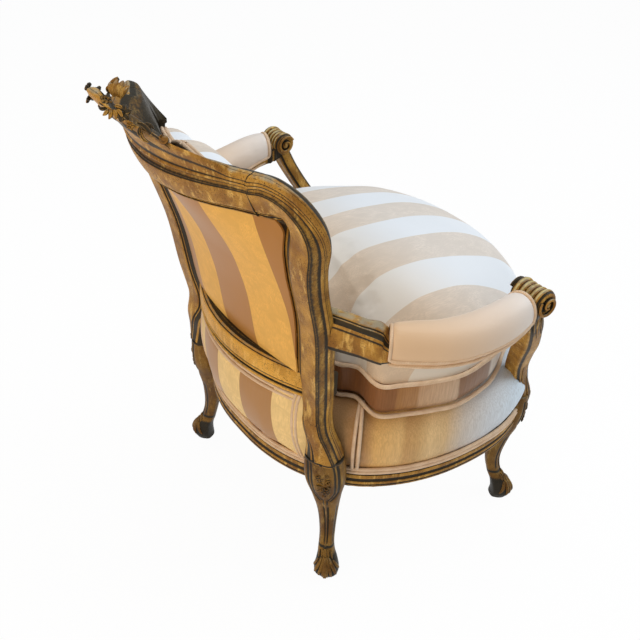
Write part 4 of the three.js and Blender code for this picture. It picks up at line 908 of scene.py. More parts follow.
@dataclass
class CrestRail:
    """The top rail, which steps up from its shoulders to a carved hump."""

    shop: Workshop
    steps: int = 260

    def stations(self) -> np.ndarray:
        """Middle line: x, the inner edge's height, the width and the carving's share."""
        half = JOINT_HALF - FIT_GAP / 2
        joint = SHOULDER_SHARE * CREST_HEIGHT - STILE_WIDTH / 2
        mirror = [(-x, *rest) for x, *rest in reversed(CREST_HALF[1:])]
        rows = [
            (x * half, joint + rise * STILE_WIDTH, width * STILE_WIDTH, carving)
            for x, rise, width, carving in mirror + CREST_HALF
        ]
        return smooth_rows(rows, self.steps)

    def point(self, station: Sequence[float], across: float, depth: float) -> np.ndarray:
        """A point of the rail at a station, across it and in from its rear face."""
        x, z, width, _ = station
        widening = ease(across, 0.74, 0.97) * (width - STILE_WIDTH)
        height = z + across * STILE_WIDTH + widening
        late = 0.3 * (1 - ease(abs(x), 0.0, 0.035))
        dip = ease(across, 0.5, 0.9) * ease(depth, 0.3 + late, 0.95) * (1 - ease(abs(x), 0.10, 0.17))
        dip *= 0.022 + 0.026 * ease(abs(x), 0.0, 0.035)
        swell = crest_swell(x)
        sag = 0.45 * swell * (1 - ease(across, 0.3, 0.9))
        rear = back_face(x, height) + swell
        return np.array([x, rear - depth * (STILE_DEPTH + swell), height - dip - sag])

    def build(self) -> list:
        """Make the rail and its carving."""
        section, glaze = moulding(1.0)
        stations = self.stations()
        rings = np.array([[self.point(s, a, b) for a, b in section] for s in stations])
        darks = np.tile(glaze, (len(stations), 1))
        near = np.exp(-(((np.abs(stations[:, 0]) - JOINT_HALF) / 0.0012) ** 2))
        darks = np.maximum(darks, near[:, None] * 0.9)
        piece = self.shop.skin("crest_moulding", rings, {"glaze": darks})
        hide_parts("crest_rail")
        return [piece, self.cartouche()]

    def cartouche(self) -> bpy.types.Object:
        """The carved shell, flowers and leaves in the middle of the crest."""
        carver = Carver(self.shop)
        view = (-0.55, 0.62, 0.56)

        stations = self.stations()

        def rim(x: float, above: float) -> tuple:
            """A place on the rail's upper rim, a little above it."""
            station = stations[int(np.argmin(np.abs(stations[:, 0] - x)))]
            place = self.point(station, 0.98, 0.42)
            return place[0], place[1], place[2] + above

        shell = Spot((-0.014, 0.470, 0.938), view)
        for start, end, width, tall in (
            ((2, 0), (12, 17), 9, 5), ((-1, 1), (3, 23), 10, 5.5), ((-4, 2), (-6, 24), 10, 5.5),
            ((-7, 1), (-15, 19), 9, 5),
        ):
            carver.leaf(shell, start, end, width, tall, 0.05, 3, 1, 0.55, -0.3)
        heap = Spot(rim(-0.028, 0.003), view)
        for x, y, radius in ((-4, 4, 3), (1, 5.5, 3), (6, 4, 2.8), (-1.5, -0.5, 2.8), (4, -0.5, 2.8), (9, 0, 2.6)):
            carver.berry(heap, (x, y, 1.5), radius, 0.55)
        carver.flower(Spot(rim(-0.043, 0.005), view), (0, 0, 1), 12, 6, 0.5, 0.4)
        carver.flower(Spot(rim(-0.048, -0.006), view), (0, 0, 0.5), 6.5, 5, 0.1, 0.1)
        long_leaf = Spot(rim(-0.064, 0.001), view, (-0.62, -0.5, -0.6))
        carver.leaf(long_leaf, (0, -14), (0, 15), 9, 4.5, 0.12, 2.5, 1, 0.55, 0.45)
        carver.leaf(long_leaf, (3, -8), (9, 8), 6, 3.5, -0.2, 2, 0, 0.5, 0.35)
        carver.leaf(long_leaf, (-3, -6), (-9, 9), 6, 3.5, 0.2, 2, 0, 0.5, 0.5)
        ball = Spot(rim(-0.088, 0.002), view)
        carver.berry(ball, (0, 0, 1), 5.2, 0.35)
        carver.curl(ball, (0, 0, 0), 7.2, 1.4, 2.2, 4.2, 0.25)
        sprig = Spot((-0.0665, 0.4595, 0.9045), view, (-0.7, -0.35, -0.35))
        carver.leaf(sprig, (0, -9), (-2, 40), 6, 3.2, 0.06, 1.5, -2, 0.6, 0.2)
        carver.leaf(sprig, (2, -6), (8, 12), 6, 3.2, -0.2, 2, 0, 0.5, 0.1)
        low = Spot((-0.027, 0.4925, 0.9335), view)
        for start, end, width, dark in (
            ((-2, 3), (-15, 8), 5.5, 0.55), ((-2, -1), (-13, -3), 5.5, 0.5), ((0, -2), (-6, -12), 6, 0.0),
            ((4, -3), (3, -16), 6.5, 0.0), ((8, -3), (13, -15), 6.5, 0.0), ((12, -2), (22, -12), 6, 0.05),
            ((9, 2), (21, 0), 5.5, 0.1),
        ):
            carver.leaf(low, start, end, width, 2.6, 0.15, 1.2, 0, 0.45, dark)
        carver.mirror()
        return carver.piece("crest_carving")


# Glaze below zero gives a faint pale bead colour: worn gilding with a painted highlight.
LOWER_SECTION = np.array([
    (0.5, 0.9, 0.8), (0.5, 0.5, 0.8), (0.5, 0.36, 0.6), (0.497, 0.30, 1), (0.485, 0.25, 1),
    (0.472, 0.20, 0.4), (0.462, 0.15, 0.15), (0.45, 0.11, 0.5), (0.44, 0.11, 1), (0.43, 0.07, 0.6),
    (0.415, 0.03, 0.05), (0.38, 0.008, 0), (0.3, 0, 0), (0.2, -0.008, 0), (0.1, -0.01, 0), (0, -0.01, 0),
    (-0.08, -0.005, 0), (-0.12, 0.0, 0.1), (-0.135, 0.02, 0.7), (-0.145, 0.055, 1), (-0.16, 0.05, 0.6),
    (-0.17, 0.0, 0), (-0.20, -0.02, -0.1), (-0.225, 0.0, 0.1), (-0.235, 0.06, 0.9),
    (-0.25, 0.13, 1), (-0.28, 0.16, 1), (-0.31, 0.16, 1), (-0.34, 0.13, 1),
    (-0.355, 0.08, 0.8), (-0.365, 0.03, 0.1), (-0.39, 0, -0.1), (-0.42, -0.002, -0.1),
    (-0.445, 0.01, 0), (-0.46, 0.04, 0.3), (-0.47, 0.09, 0.9), (-0.485, 0.12, 0.8),
    (-0.5, 0.2, 0.7), (-0.5, 0.9, 0.8), (-0.4, 1, 0.8), (0.4, 1, 0.8),
])


@dataclass
class LowerBackRail:
    """The bowed rail under the back panel, a little proud of the posts."""

    shop: Workshop
    steps: int = 90

    def build(self) -> list:
        """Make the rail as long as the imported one."""
        low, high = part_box("lower_back_rail")
        xs = np.linspace(low.x, high.x, self.steps + 1)
        rings = np.array([
            [(x, lower_rail_rear(x) - d * LOWER_DEPTH, LOWER_RAIL + up * LOWER_TALL) for up, d, _ in LOWER_SECTION]
            for x in xs
        ])
        glaze = np.tile(LOWER_SECTION[:, 2], (len(xs), 1))
        piece = self.shop.skin("lower_rail_moulding", rings, {"glaze": glaze})
        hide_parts("lower_back_rail")
        return [piece]


RAIL_SECTION = np.array([
    (0.35, 0, 0.9), (0.12, 0, 0.8), (0.05, 0.004, 0.5), (0.015, 0.03, 0.3), (0, 0.09, 0.4),
    (0, 0.16, 0.7), (0.02, 0.18, 1), (0.022, 0.21, 0.9), (0.004, 0.23, 0.2), (-0.002, 0.3, 0),
    (0.003, 0.36, 0.2), (0.03, 0.4, 0.7), (0.06, 0.45, 1), (0.07, 0.51, 1), (0.06, 0.57, 0.8),
    (0.03, 0.61, 0.3), (0.005, 0.64, 0), (0, 0.7, 0), (0, 0.8, 0), (0.005, 0.86, 0.2),
    (0.02, 0.9, 0.9), (0.045, 0.91, 0.8), (0.07, 0.93, 0.1), (0.1, 0.97, 0.1), (0.14, 1, 0.3),
    (0.2727, 1, 0.9), (0.2727, 2.118, 0.9), (1, 2.118, 0.9), (1, 0, 0.9),
])


@dataclass
class SeatRails:
    """The four moulded rails of the seat, each as long as its packed rail."""

    shop: Workshop
    outline_steps: int = 36
    fine: int = 10
    spans: tuple = (("left", 6, 14), ("front", 14, 22), ("right", 22, 30), ("rear", -6, 6))

    def ring(self, outline: np.ndarray, place: float) -> np.ndarray:
        """One ring of the rail at a place on the seat's outline."""
        steps = self.outline_steps
        low = math.floor(place)
        part = place - low
        points = [outline[(low + d) % steps] for d in (-1, 0, 1, 2)]
        into, out_run = 0.5 * (points[2] - points[0]), 0.5 * (points[3] - points[1])
        cube = 2 * points[1] - 2 * points[2] + into + out_run
        square = -3 * points[1] + 3 * points[2] - 2 * into - out_run
        point = ((cube * part + square) * part + into) * part + points[1]
        along = (3 * cube * part + 2 * square) * part + into
        along /= np.linalg.norm(along)
        out = np.array([-along[1], along[0]])
        return np.array([
            (*(point - out * inward * RAIL_DEPTH), RAIL_LOW + up * RAIL_SHOW) for inward, up, _ in RAIL_SECTION
        ])

    def build(self) -> list:
        """Make the rails."""
        outline = seat_outline(self.outline_steps)
        made = []
        for word, first, last in self.spans:
            places = np.linspace(first, last, (last - first) * self.fine + 1)
            rings = np.array([self.ring(outline, place) for place in places])
            glaze = np.tile(RAIL_SECTION[:, 2], (len(places), 1))
            piece = self.shop.skin(f"rail_moulding_{word}", rings, {"glaze": glaze})
            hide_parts(f"seat_rail_{word}")
            made.append(piece)
        return made


# Glaze below zero gives the pale bead colour: worn gilding with a painted highlight.
ARM_SECTION = np.array([
    (-0.38, -0.5, 0.9), (-0.46, -0.46, 0.8), (-0.5, -0.38, 0.4), (-0.5, -0.1, 0.1), (-0.5, 0.12, 0.1),
    (-0.49, 0.2, 0.4), (-0.46, 0.27, 0.9), (-0.43, 0.33, 0.5), (-0.38, 0.41, 0.1), (-0.28, 0.47, 0),
    (-0.14, 0.5, 0), (0.0, 0.5, 0), (0.10, 0.49, 0), (0.16, 0.465, 0.2), (0.19, 0.44, 0.9),
    (0.205, 0.42, 1), (0.225, 0.425, 0.8), (0.245, 0.44, 0.1), (0.28, 0.43, 0.5), (0.31, 0.40, 1),
    (0.35, 0.36, 1), (0.39, 0.33, 1), (0.42, 0.325, 0.8), (0.44, 0.34, 0.1), (0.46, 0.325, -0.2),
    (0.475, 0.29, 0), (0.478, 0.25, 0.9), (0.49, 0.22, 0.6), (0.5, 0.17, 0.05), (0.505, 0.08, 0), (0.5, -0.1, 0),
    (0.5, -0.25, 0), (0.495, -0.33, 0.2), (0.47, -0.38, 0.9), (0.455, -0.42, 1), (0.44, -0.46, 0.6),
    (0.38, -0.5, 0.8),
])
ARM_PATH = [
    (0.585, 0.835, 0.995, 0.8, 1.16), (0.655, 0.785, 0.995, 0.82, 1.12), (0.728, 0.735, 0.995, 0.86, 1.04),
    (0.77, 0.7, 0.995, 1.02, 1.04), (0.795, 0.672, 0.988, 1.02, 0.96), (0.815, 0.645, 0.978, 0.98, 0.54),
    (0.865, 0.55, 0.965, 1, 0.48), (0.94, 0.375, 0.964, 1.02, 0.44), (0.978, 0.2, 0.97, 1.04, 0.43),
    (0.985, 0.03, 0.99, 1.06, 0.48), (0.975, -0.09, 1.01, 1.06, 0.64), (0.965, -0.165, 1.028, 1.04, 0.8),
]
PAD_PATH = [
    (0.808, 0.655, 0.952, 0.88, 1.1), (0.824, 0.628, 0.95, 0.98, 1.3), (0.868, 0.545, 0.95, 1.08, 1.36),
    (0.928, 0.415, 0.95, 1.12, 1.38), (0.966, 0.27, 0.954, 1.12, 1.4), (0.984, 0.11, 0.965, 1.1, 1.4),
    (0.986, 0.03, 0.975, 1.06, 1.34), (0.982, -0.05, 0.986, 1, 1.22), (0.978, -0.085, 0.99, 0.92, 1.1),
]
PAD_SECTION = [
    (-0.42, 0), (-0.5, 0.28), (-0.47, 0.62), (-0.32, 0.88), (-0.1, 1), (0.1, 1), (0.32, 0.88),
    (0.47, 0.62), (0.5, 0.28), (0.42, 0),
]
SUPPORT_PATH = [
    (0.69, 0.97, 0.4, 1.25, 1.2), (0.7, 0.945, 0.47, 1.22, 1.12), (0.716, 0.86, 0.55, 1.05, 0.98),
    (0.745, 0.76, 0.635, 1, 0.92), (0.8, 0.65, 0.72, 1.02, 0.92), (0.86, 0.54, 0.8, 1.05, 0.94),
    (0.91, 0.42, 0.88, 1.05, 0.92), (0.94, 0.32, 0.95, 1.08, 0.9), (0.958, 0.25, 1.01, 1.08, 0.88),
]
SUPPORT_SECTION = np.array([
    (-0.5, -0.3, 0.5), (-0.48, -0.38, 0.9), (-0.42, -0.44, 0.5), (-0.3, -0.47, 0), (-0.22, -0.43, 0.9),
    (-0.16, -0.47, 0.2), (0, -0.5, 0), (0.16, -0.47, 0.2), (0.22, -0.43, 0.9), (0.3, -0.47, 0),
    (0.42, -0.44, 0.5), (0.48, -0.38, 0.9), (0.5, -0.3, 0.4), (0.5, -0.15, 0), (0.495, 0, 0), (0.5, 0.15, 0),
    (0.5, 0.26, 0.3), (0.47, 0.32, 1), (0.42, 0.38, 0.8), (0.38, 0.47, 0.1), (0.32, 0.5, 0.1),
    (0.2, 0.47, 0.2), (0, 0.44, 0.2), (-0.2, 0.47, 0.2), (-0.32, 0.5, 0.1), (-0.38, 0.47, 0.1),
    (-0.42, 0.38, 0.8), (-0.47, 0.32, 1), (-0.5, 0.26, 0.3), (-0.5, 0, 0),
])
KNUCKLE_RADIUS = 0.025
KNUCKLE_WIDTH = 0.062
KNUCKLE_PLACE = (0.968 * ARM_HALF, -0.055, 1.044 * ARM_HEIGHT)


@dataclass
class Arm:
    """An arm: the moulded rail, its scroll, the carved support and the reeded leaf."""

    shop: Workshop
    side: Side
    steps: int = 160

    def line(self, shares: Rows, breadth: float, tall: float) -> list:
        """A path's rows in metres, on the +X side."""
        return [(x * ARM_HALF, y * BACK_REACH, z * ARM_HEIGHT, w * breadth, t * tall) for x, y, z, w, t in shares]

    def swept(self, rows: Rows, steps: int, section: np.ndarray) -> np.ndarray:
        """Rings of a section along a path that stays level."""
        stations = smooth_rows(rows, steps)
        rings = []
        for i, (x, y, z, width, tall) in enumerate(stations):
            before, after = stations[max(i - 1, 0)], stations[min(i + 1, len(stations) - 1)]
            along = np.array([after[0] - before[0], after[1] - before[1]])
            along /= np.linalg.norm(along)
            out = np.array([-along[1], along[0]])
            rings.append([
                (x + out[0] * a * width, y + out[1] * a * width, z + b * tall) for a, b in section[:, :2]
            ])
        rings = np.array(rings)
        rings[:, :, 0] *= self.side.value
        return rings

    def rail(self) -> bpy.types.Object:
        """The arm's rail, up to its scroll, with two collars behind the scroll."""
        rings = self.swept(self.line(ARM_PATH, 0.050, 0.056), self.steps, ARM_SECTION)
        glaze = np.tile(ARM_SECTION[:, 2], (len(rings), 1))
        share = np.linspace(0, 1, len(rings))
        for middle, swell in ((0.905, 0.05), (0.945, 0.05)):
            hill = np.exp(-(((share - middle) / 0.012) ** 2))
            centre = rings.mean(1, keepdims=True)
            rings = centre + (rings - centre) * (1 + swell * hill)[:, None, None]
        collar = np.clip((share - 0.875) / 0.01, 0, 1) * (0.85 - 0.75 * np.exp(-(((share - 0.925) / 0.008) ** 2)))
        glaze = np.maximum(glaze, collar[:, None])
        return self.shop.skin(f"arm_moulding_{self.side.label}", rings, {"glaze": glaze})

    def scroll(self) -> bpy.types.Object:
        """The roll at the arm's front end, fluted round and with an eye in each end."""
        profile, darks = [], []
        ends = [(0, -1.10), (0.14, -1.09), (0.24, -1.05), (0.30, -0.98), (0.34, -0.92), (0.42, -0.90), (0.5, -0.92),
                (0.58, -0.97), (0.68, -1.0), (0.78, -0.99), (0.86, -0.94), (0.92, -0.87)]
        shades = [-0.2, -0.1, 0.1, 0.7, 1, 1, 0.6, 0.1, 0, 0.1, 0.6, 1]
        for (radius, along), shade in zip(ends, shades):
            profile.append((radius, along))
            darks.append(shade)
        reeds = 80
        for k in range(reeds + 1):
            along = -0.84 + 1.68 * k / reeds
            wave = abs(math.sin(math.pi * 5 * k / reeds)) ** 0.55
            crown = 1 - 0.10 * (1 - (along / 0.84) ** 2)
            profile.append(((0.89 + 0.13 * wave) * crown, along))
            # Reed tops go below zero, to the pale colour of worn gilding with a painted highlight; the hollows take
            # the dark glaze.
            darks.append(-0.35 + 1.35 * (1 - wave) ** 0.8)
        for (radius, along), shade in zip(reversed(ends), reversed(shades)):
            profile.append((radius, -along))
            darks.append(shade)
        turns = 72
        x0, y0, z0 = KNUCKLE_PLACE
        rings, grid = [], []
        for (radius, along), dark in zip(profile, darks):
            angle = 2 * np.pi * np.arange(turns) / turns
            reach = max(radius, 0.004) * KNUCKLE_RADIUS
            half = KNUCKLE_WIDTH / 2
            rings.append(np.column_stack([
                np.full(turns, self.side.value * (x0 + along * half)),
                y0 + reach * np.cos(angle), z0 + reach * np.sin(angle),
            ]))
            grid.append(np.full(turns, dark))
        return self.shop.skin(f"arm_scroll_{self.side.label}", np.array(rings), {"glaze": np.array(grid)}, tips=True)

    def carving(self) -> bpy.types.Object:
        """The spiral on the scroll's outer end and the leaf on the support's foot."""
        carver = Carver(self.shop)
        x0, y0, z0 = KNUCKLE_PLACE
        sign = self.side.value
        for way in (1, -1):
            face = Spot((sign * (x0 + way * (KNUCKLE_WIDTH / 2 + 0.0004)), y0, z0), (sign * way, 0, 0))
            carver.curl(face, (0, 0, -1), 21, 1.4, 2.6 if way > 0 else 0.5, 6.0, -0.1)
        rows = smooth_rows([
            (x * ARM_HALF, -y * 0.232, z * ARM_HEIGHT, w * 0.038, d * 0.038) for x, y, z, w, d in SUPPORT_PATH
        ], 60)
        for start, end, offset, width, dark in (
            (4, 24, 0.0, 0.011, 0.05), (3, 18, 0.28, 0.010, 0.2), (3, 18, -0.28, 0.010, 0.2),
            (44, 58, 0.0, 0.010, 0.1), (46, 58, 0.26, 0.008, 0.3), (46, 58, -0.26, 0.008, 0.3),
        ):
            part = rows[start:end]
            line = np.column_stack([
                sign * (part[:, 0] + part[:, 3] * 0.5), part[:, 1] + offset * part[:, 4], part[:, 2],
            ])
            shape = np.sin(math.pi * np.clip(np.linspace(0.06, 0.96, len(part)), 0, 1)) ** 0.7
            carver.form(line, (sign, 0, 0), width * shape, 0.0030 * shape, 0.5, dark)
        return carver.piece(f"arm_carving_{self.side.label}")

    def support(self) -> bpy.types.Object:
        """The S-shaped support from the seat rail to the scroll."""
        rows = [
            (x * ARM_HALF, -y * 0.232, z * ARM_HEIGHT, w * 0.038, d * 0.038) for x, y, z, w, d in SUPPORT_PATH
        ]
        rings = np.array([
            [(self.side.value * (x + a * w), y + b * d, z) for a, b, _ in SUPPORT_SECTION]
            for x, y, z, w, d in smooth_rows(rows, 90)
        ])
        glaze = np.tile(SUPPORT_SECTION[:, 2], (len(rings), 1))
        return self.shop.skin(f"arm_post_{self.side.label}", rings, {"glaze": glaze})

    def build(self) -> list:
        """Make the arm's pieces."""
        rail, scroll, carving, support = self.rail(), self.scroll(), self.carving(), self.support()
        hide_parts(f"arm_rail_{self.side.label}")
        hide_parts(f"arm_support_{self.side.label}")
        return [rail, scroll, carving, support]
CUSHION_HALF = 0.312
CUSHION_FRONT = 0.338
CUSHION_REAR = 0.182
CUSHION_UNDER = 0.3743
BAND_TALL = 0.068
CROWN = 0.176
CROWN_SHIFT = 0.118
CORD_RADIUS = 0.0042
GROOVE = CORD_RADIUS + FIT_GAP
SEAM_LOW = CUSHION_UNDER + GROOVE + FIT_GAP
SEAM_HIGH = SEAM_LOW + BAND_TALL
DECK_TOP = 0.374
DECK_BULGE = 0.007
DECK_BASE = RAIL_LOW + RAIL_SHOW + FIT_GAP
PAD_DEEP = 0.052


@dataclass
class Stuffing:
    """Swells a closed shape as stuffed cloth does, with Blender's cloth."""

    shop: Workshop
    voxel: float = 0.005
    pressure: float = 4.0
    frames: int = 20
    cap: float = 0.008

    def points(self, piece: bpy.types.Object, key: str = "co") -> np.ndarray:
        """A piece's corners, as rows."""
        grid = np.empty(len(piece.data.vertices) * 3)
        piece.data.vertices.foreach_get(key, grid)
        return grid.reshape(-1, 3)

    def put(self, piece: bpy.types.Object, points: np.ndarray) -> None:
        """Move a piece's corners to new points."""
        piece.data.vertices.foreach_set("co", points.reshape(-1))
        piece.data.update()

    def swell(self, piece: bpy.types.Object) -> bpy.types.Object:
        """Remesh a piece, blow it up as cloth and keep the result.

        Args:
            piece: The closed shape, a little smaller than the stuffed one.

        Returns:
            The same piece with its new mesh.
        """
        self.shop.apply(piece, "REMESH", mode="VOXEL", voxel_size=self.voxel, use_smooth_shade=True)
        rest = self.points(piece)
        cloth = piece.modifiers.new("Cloth", "CLOTH")
        cloth.settings.use_pressure = True
        cloth.settings.uniform_pressure_force = self.pressure
        cloth.settings.effector_weights.gravity = 0
        cloth.point_cache.frame_start = 1
        cloth.point_cache.frame_end = self.frames
        scene = bpy.context.scene
        for frame in range(1, self.frames + 1):
            scene.frame_set(frame)
        shaped = piece.evaluated_get(bpy.context.evaluated_depsgraph_get())
        moved = self.points(shaped)
        piece.modifiers.remove(cloth)
        scene.frame_set(1)
        shift = moved - rest
        reach = np.linalg.norm(shift, axis=1)
        held = self.cap * np.tanh(reach / self.cap)
        self.put(piece, rest + shift * (held / np.maximum(reach, 1e-9))[:, None])
        return piece

    def gather(self, piece: bpy.types.Object, line: np.ndarray, deep: float, reach: float, pitch: float = 0.007) -> None:
        """Gather the cloth beside a seam in small folds that fade away from it.

        Args:
            piece: The cloth.
            line: The seam, in the chair's own measure.
            deep: How deep the folds are.
            reach: How far from the seam they fade.
            pitch: About how far apart they are.
        """
        seam = even(line - np.array([0.0, self.shop.shift, 0.0]), 900)
        step = float(np.linalg.norm(np.diff(seam, axis=0), axis=1).mean())
        tree = KDTree(len(seam))
        for i, point in enumerate(seam):
            tree.insert(point, i)
        tree.balance()
        points, normals = self.points(piece), self.points(piece, "normal")
        far = 3.2 * reach
        for k, point in enumerate(points):
            _, index, gap = tree.find(point)
            if gap > far:
                continue
            run = index * step
            wave = math.sin(2 * math.pi * run / pitch + 2.1 * math.sin(run / 0.031) + 1.3 * math.sin(run / 0.0117))
            size = 0.55 + 0.45 * math.sin(run / 0.052 + 1.1 * math.sin(run / 0.023))
            fade = math.exp(-gap / reach) * min(gap / 0.004, 1.0)
            points[k] += normals[k] * deep * wave * size * fade
        self.put(piece, points)

    def slacken(self, piece: bpy.types.Object, deep: float, scale: float) -> None:
        """Let the cloth hang a little uneven."""
        points, normals = self.points(piece), self.points(piece, "normal")
        sway = np.array([
            noise.noise(Vector(p) * scale) + 0.45 * noise.noise(Vector(p) * scale * 2.3 + Vector((5, 1, 3)))
            for p in points
        ])
        self.put(piece, points + normals * (deep * sway)[:, None])

    def finish(self, piece: bpy.types.Object) -> None:
        """Round the cloth off once the folds are in."""
        self.shop.apply(piece, "SUBSURF", levels=1, render_levels=1)
        self.shop.smooth(piece, 180)


def cushion_outline(steps: int) -> np.ndarray:
    """The loose cushion's seam line, seen from above."""
    half = [
        (0, 1), (0.286, 0.985), (0.505, 0.95), (0.571, 0.86), (0.625, 0.81), (0.755, 0.83), (0.825, 0.79),
        (0.875, 0.62), (0.95, 0.3), (0.99, 0), (0.955, -0.24), (0.88, -0.4), (0.795, -0.52), (0.7, -0.68),
        (0.57, -0.86), (0.305, -0.97), (0, -1),
    ]
    rows = [(x * CUSHION_HALF, y * (CUSHION_REAR if y > 0 else CUSHION_FRONT)) for x, y in half]
    return mirrored_outline(rows, steps)


@dataclass
class LooseCushion:
    """The feather cushion: a high crown over a boxed band, with a cord in each seam."""

    shop: Workshop
    steps: int = 240

    def crown_ring(self, outline: np.ndarray, scale: float, height: float) -> np.ndarray:
        """One ring of the crown, drawn in to its middle and rounder as it goes."""
        points = offset_outline(outline, -GROOVE / 2)
        reach = np.where(points[:, 1] > 0, CUSHION_REAR, CUSHION_FRONT)
        angle = np.arctan2(points[:, 1] / reach, points[:, 0] / CUSHION_HALF)
        rounded_off = np.column_stack([CUSHION_HALF * np.cos(angle), reach * np.sin(angle)])
        drawn = (points * scale + rounded_off * (1 - scale)) * scale
        drawn += np.array([0.045, CROWN_SHIFT]) * (1 - scale)
        return np.column_stack([drawn, np.full(len(drawn), height)])

    def body(self) -> bpy.types.Object:
        """The stuffed body."""
        outline = cushion_outline(self.steps)
        rings = []

        def level(inset: float, height: float) -> None:
            points = offset_outline(outline, -inset)
            rings.append(np.column_stack([points, np.full(len(points), height)]))

        for scale in (0.1, 0.35, 0.6, 0.8):
            rings.append(np.column_stack([outline * scale, np.full(len(outline), CUSHION_UNDER)]))
        level(3 * GROOVE, CUSHION_UNDER + 0.0002)
        level(1.6 * GROOVE, CUSHION_UNDER + 0.001)
        level(GROOVE * 0.9, SEAM_LOW - GROOVE * 0.6)
        level(GROOVE, SEAM_LOW)
        level(GROOVE * 0.6, SEAM_LOW + GROOVE * 0.7)
        for up in np.linspace(0.12, 0.88, 9):
            bulge = math.sin(math.pi * up) ** 0.6 * 0.9
            level(-bulge * GROOVE + 0.001, SEAM_LOW + up * BAND_TALL)
        level(GROOVE * 0.6, SEAM_HIGH - GROOVE * 0.7)
        level(GROOVE, SEAM_HIGH)
        base = SEAM_HIGH + GROOVE * 0.7
        crown = smooth_rows([
            (1, 0), (0.975, 0.13), (0.935, 0.27), (0.87, 0.44), (0.77, 0.62), (0.63, 0.79), (0.46, 0.915),
            (0.25, 0.985), (0.03, 1),
        ], 56)
        for scale, rise in crown:
            rings.append(self.crown_ring(outline, scale, base + rise * CROWN))
        return self.shop.skin("cushion_body", np.array(rings), tips=True, crease=180)

    def settle(self, piece: bpy.types.Object, stuffing: Stuffing) -> None:
        """Gather the cloth at the seams and lay the under side flat on the deck."""
        outline = np.vstack([cushion_outline(720), cushion_outline(720)[:1]])
        for height, deep in ((SEAM_LOW, 0.0009), (SEAM_HIGH, 0.0013)):
            line = np.column_stack([outline, np.full(len(outline), height)])
            stuffing.gather(piece, line, deep, 0.016)
        stuffing.slacken(piece, 0.0012, 8.0)
        points = stuffing.points(piece)
        points[:, 2] = np.maximum(points[:, 2], CUSHION_UNDER)
        stuffing.put(piece, points)

    def build(self) -> list:
        """Make the cushion and its two cords."""
        body = self.body()
        stuffing = Stuffing(self.shop, cap=0.005)
        stuffing.swell(body)
        self.settle(body, stuffing)
        stuffing.finish(body)
        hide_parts("seat_cushion")
        made = [body]
        outline = cushion_outline(720)
        for word, height in (("bottom", SEAM_LOW), ("top", SEAM_HIGH)):
            wander = np.array([noise.noise(Vector((x * 30, y * 30, height * 40))) for x, y in outline])
            line = np.column_stack([outline, height + 0.0010 * wander])
            cord = self.shop.cord(f"cushion_welt_{word}", line, CORD_RADIUS, closed=True)
            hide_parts(f"cushion_piping_{word}")
            made.append(cord)
        return made


EDGE_SHARES = [
    (-0.009, 0), (-0.0045, 0.05), (0.0021, 0.2), (DECK_BULGE, 0.38), (DECK_BULGE, 0.55),
    (-0.0028, 0.73), (-0.0168, 0.86),
]


@dataclass
class StuffedDeck:
    """The sprung seat under the cushion, with a bulging edge and double welts."""

    shop: Workshop
    steps: int = 240

    def edge(self, outline: np.ndarray, distance: float, share: float) -> np.ndarray:
        """A ring of the deck at a distance out from the rail and a share of its rise."""
        points = offset_outline(outline, distance)
        return np.column_stack([points, np.full(len(points), DECK_BASE + share * (DECK_TOP - DECK_BASE))])

    def body(self) -> bpy.types.Object:
        """The deck's cloth."""
        outline = seat_outline(self.steps)
        rings = [np.column_stack([outline * s, np.full(len(outline), DECK_BASE)]) for s in (0.3, 0.9)]
        rings += [self.edge(outline, distance, share) for distance, share in smooth_rows(EDGE_SHARES, 26)]
        for scale, share in smooth_rows([(0.9, 0.91), (0.86, 0.945), (0.7, 0.98), (0.4, 1), (0.05, 1)], 16):
            height = DECK_BASE + share * (DECK_TOP - DECK_BASE)
            rings.append(np.column_stack([outline * scale, np.full(len(outline), height)]))
        return self.shop.skin("deck_cloth", np.array(rings), tips=True, crease=180)

    def rise(self, x: float, side: int) -> np.ndarray:
        """A line up the deck's edge beside the rear post."""
        outline = seat_outline(1440)
        rear = np.where(outline[:, 1] > 0, np.abs(outline[:, 0] - side * x), 9)
        first = int(np.argmin(rear))
        line = []
        for distance, share in smooth_rows([*EDGE_SHARES, (-0.035, 0.93), (-0.06, 0.965)], 40):
            points = offset_outline(outline, distance + 0.0012)
            line.append((*points[first], DECK_BASE + 0.003 + share * (DECK_TOP - DECK_BASE)))
        return np.array(line)

    def build(self) -> list:
        """Make the deck's cloth and its welts."""
        body = self.body()
        stuffing = Stuffing(self.shop, cap=0.0035, voxel=0.006)
        stuffing.swell(body)
        fine = seat_outline(720)
        lines = []
        for word, out, up in (("outer", -0.0010, 0.0030), ("inner", -0.0022, 0.0098)):
            line = offset_outline(fine, out)
            lines.append((word, np.column_stack([line, np.full(len(line), DECK_BASE + up)]), True))
        for side in Side:
            for word, x in (("first", 0.2400), ("second", 0.2465)):
                lines.append((f"{word}_{side.label}", self.rise(x, side.value), False))
        for word, line, _ in lines:
            if word.startswith(("inner", "second")):
                stuffing.gather(body, line, 0.0010, 0.014, 0.008)
        stuffing.slacken(body, 0.0014, 9.0)
        stuffing.finish(body)
        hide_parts("seat_deck")
        made = [body]
        for word, line, closed in lines:
            made.append(self.shop.cord(f"deck_welt_{word}", line, 0.0036, closed=closed))
        return made


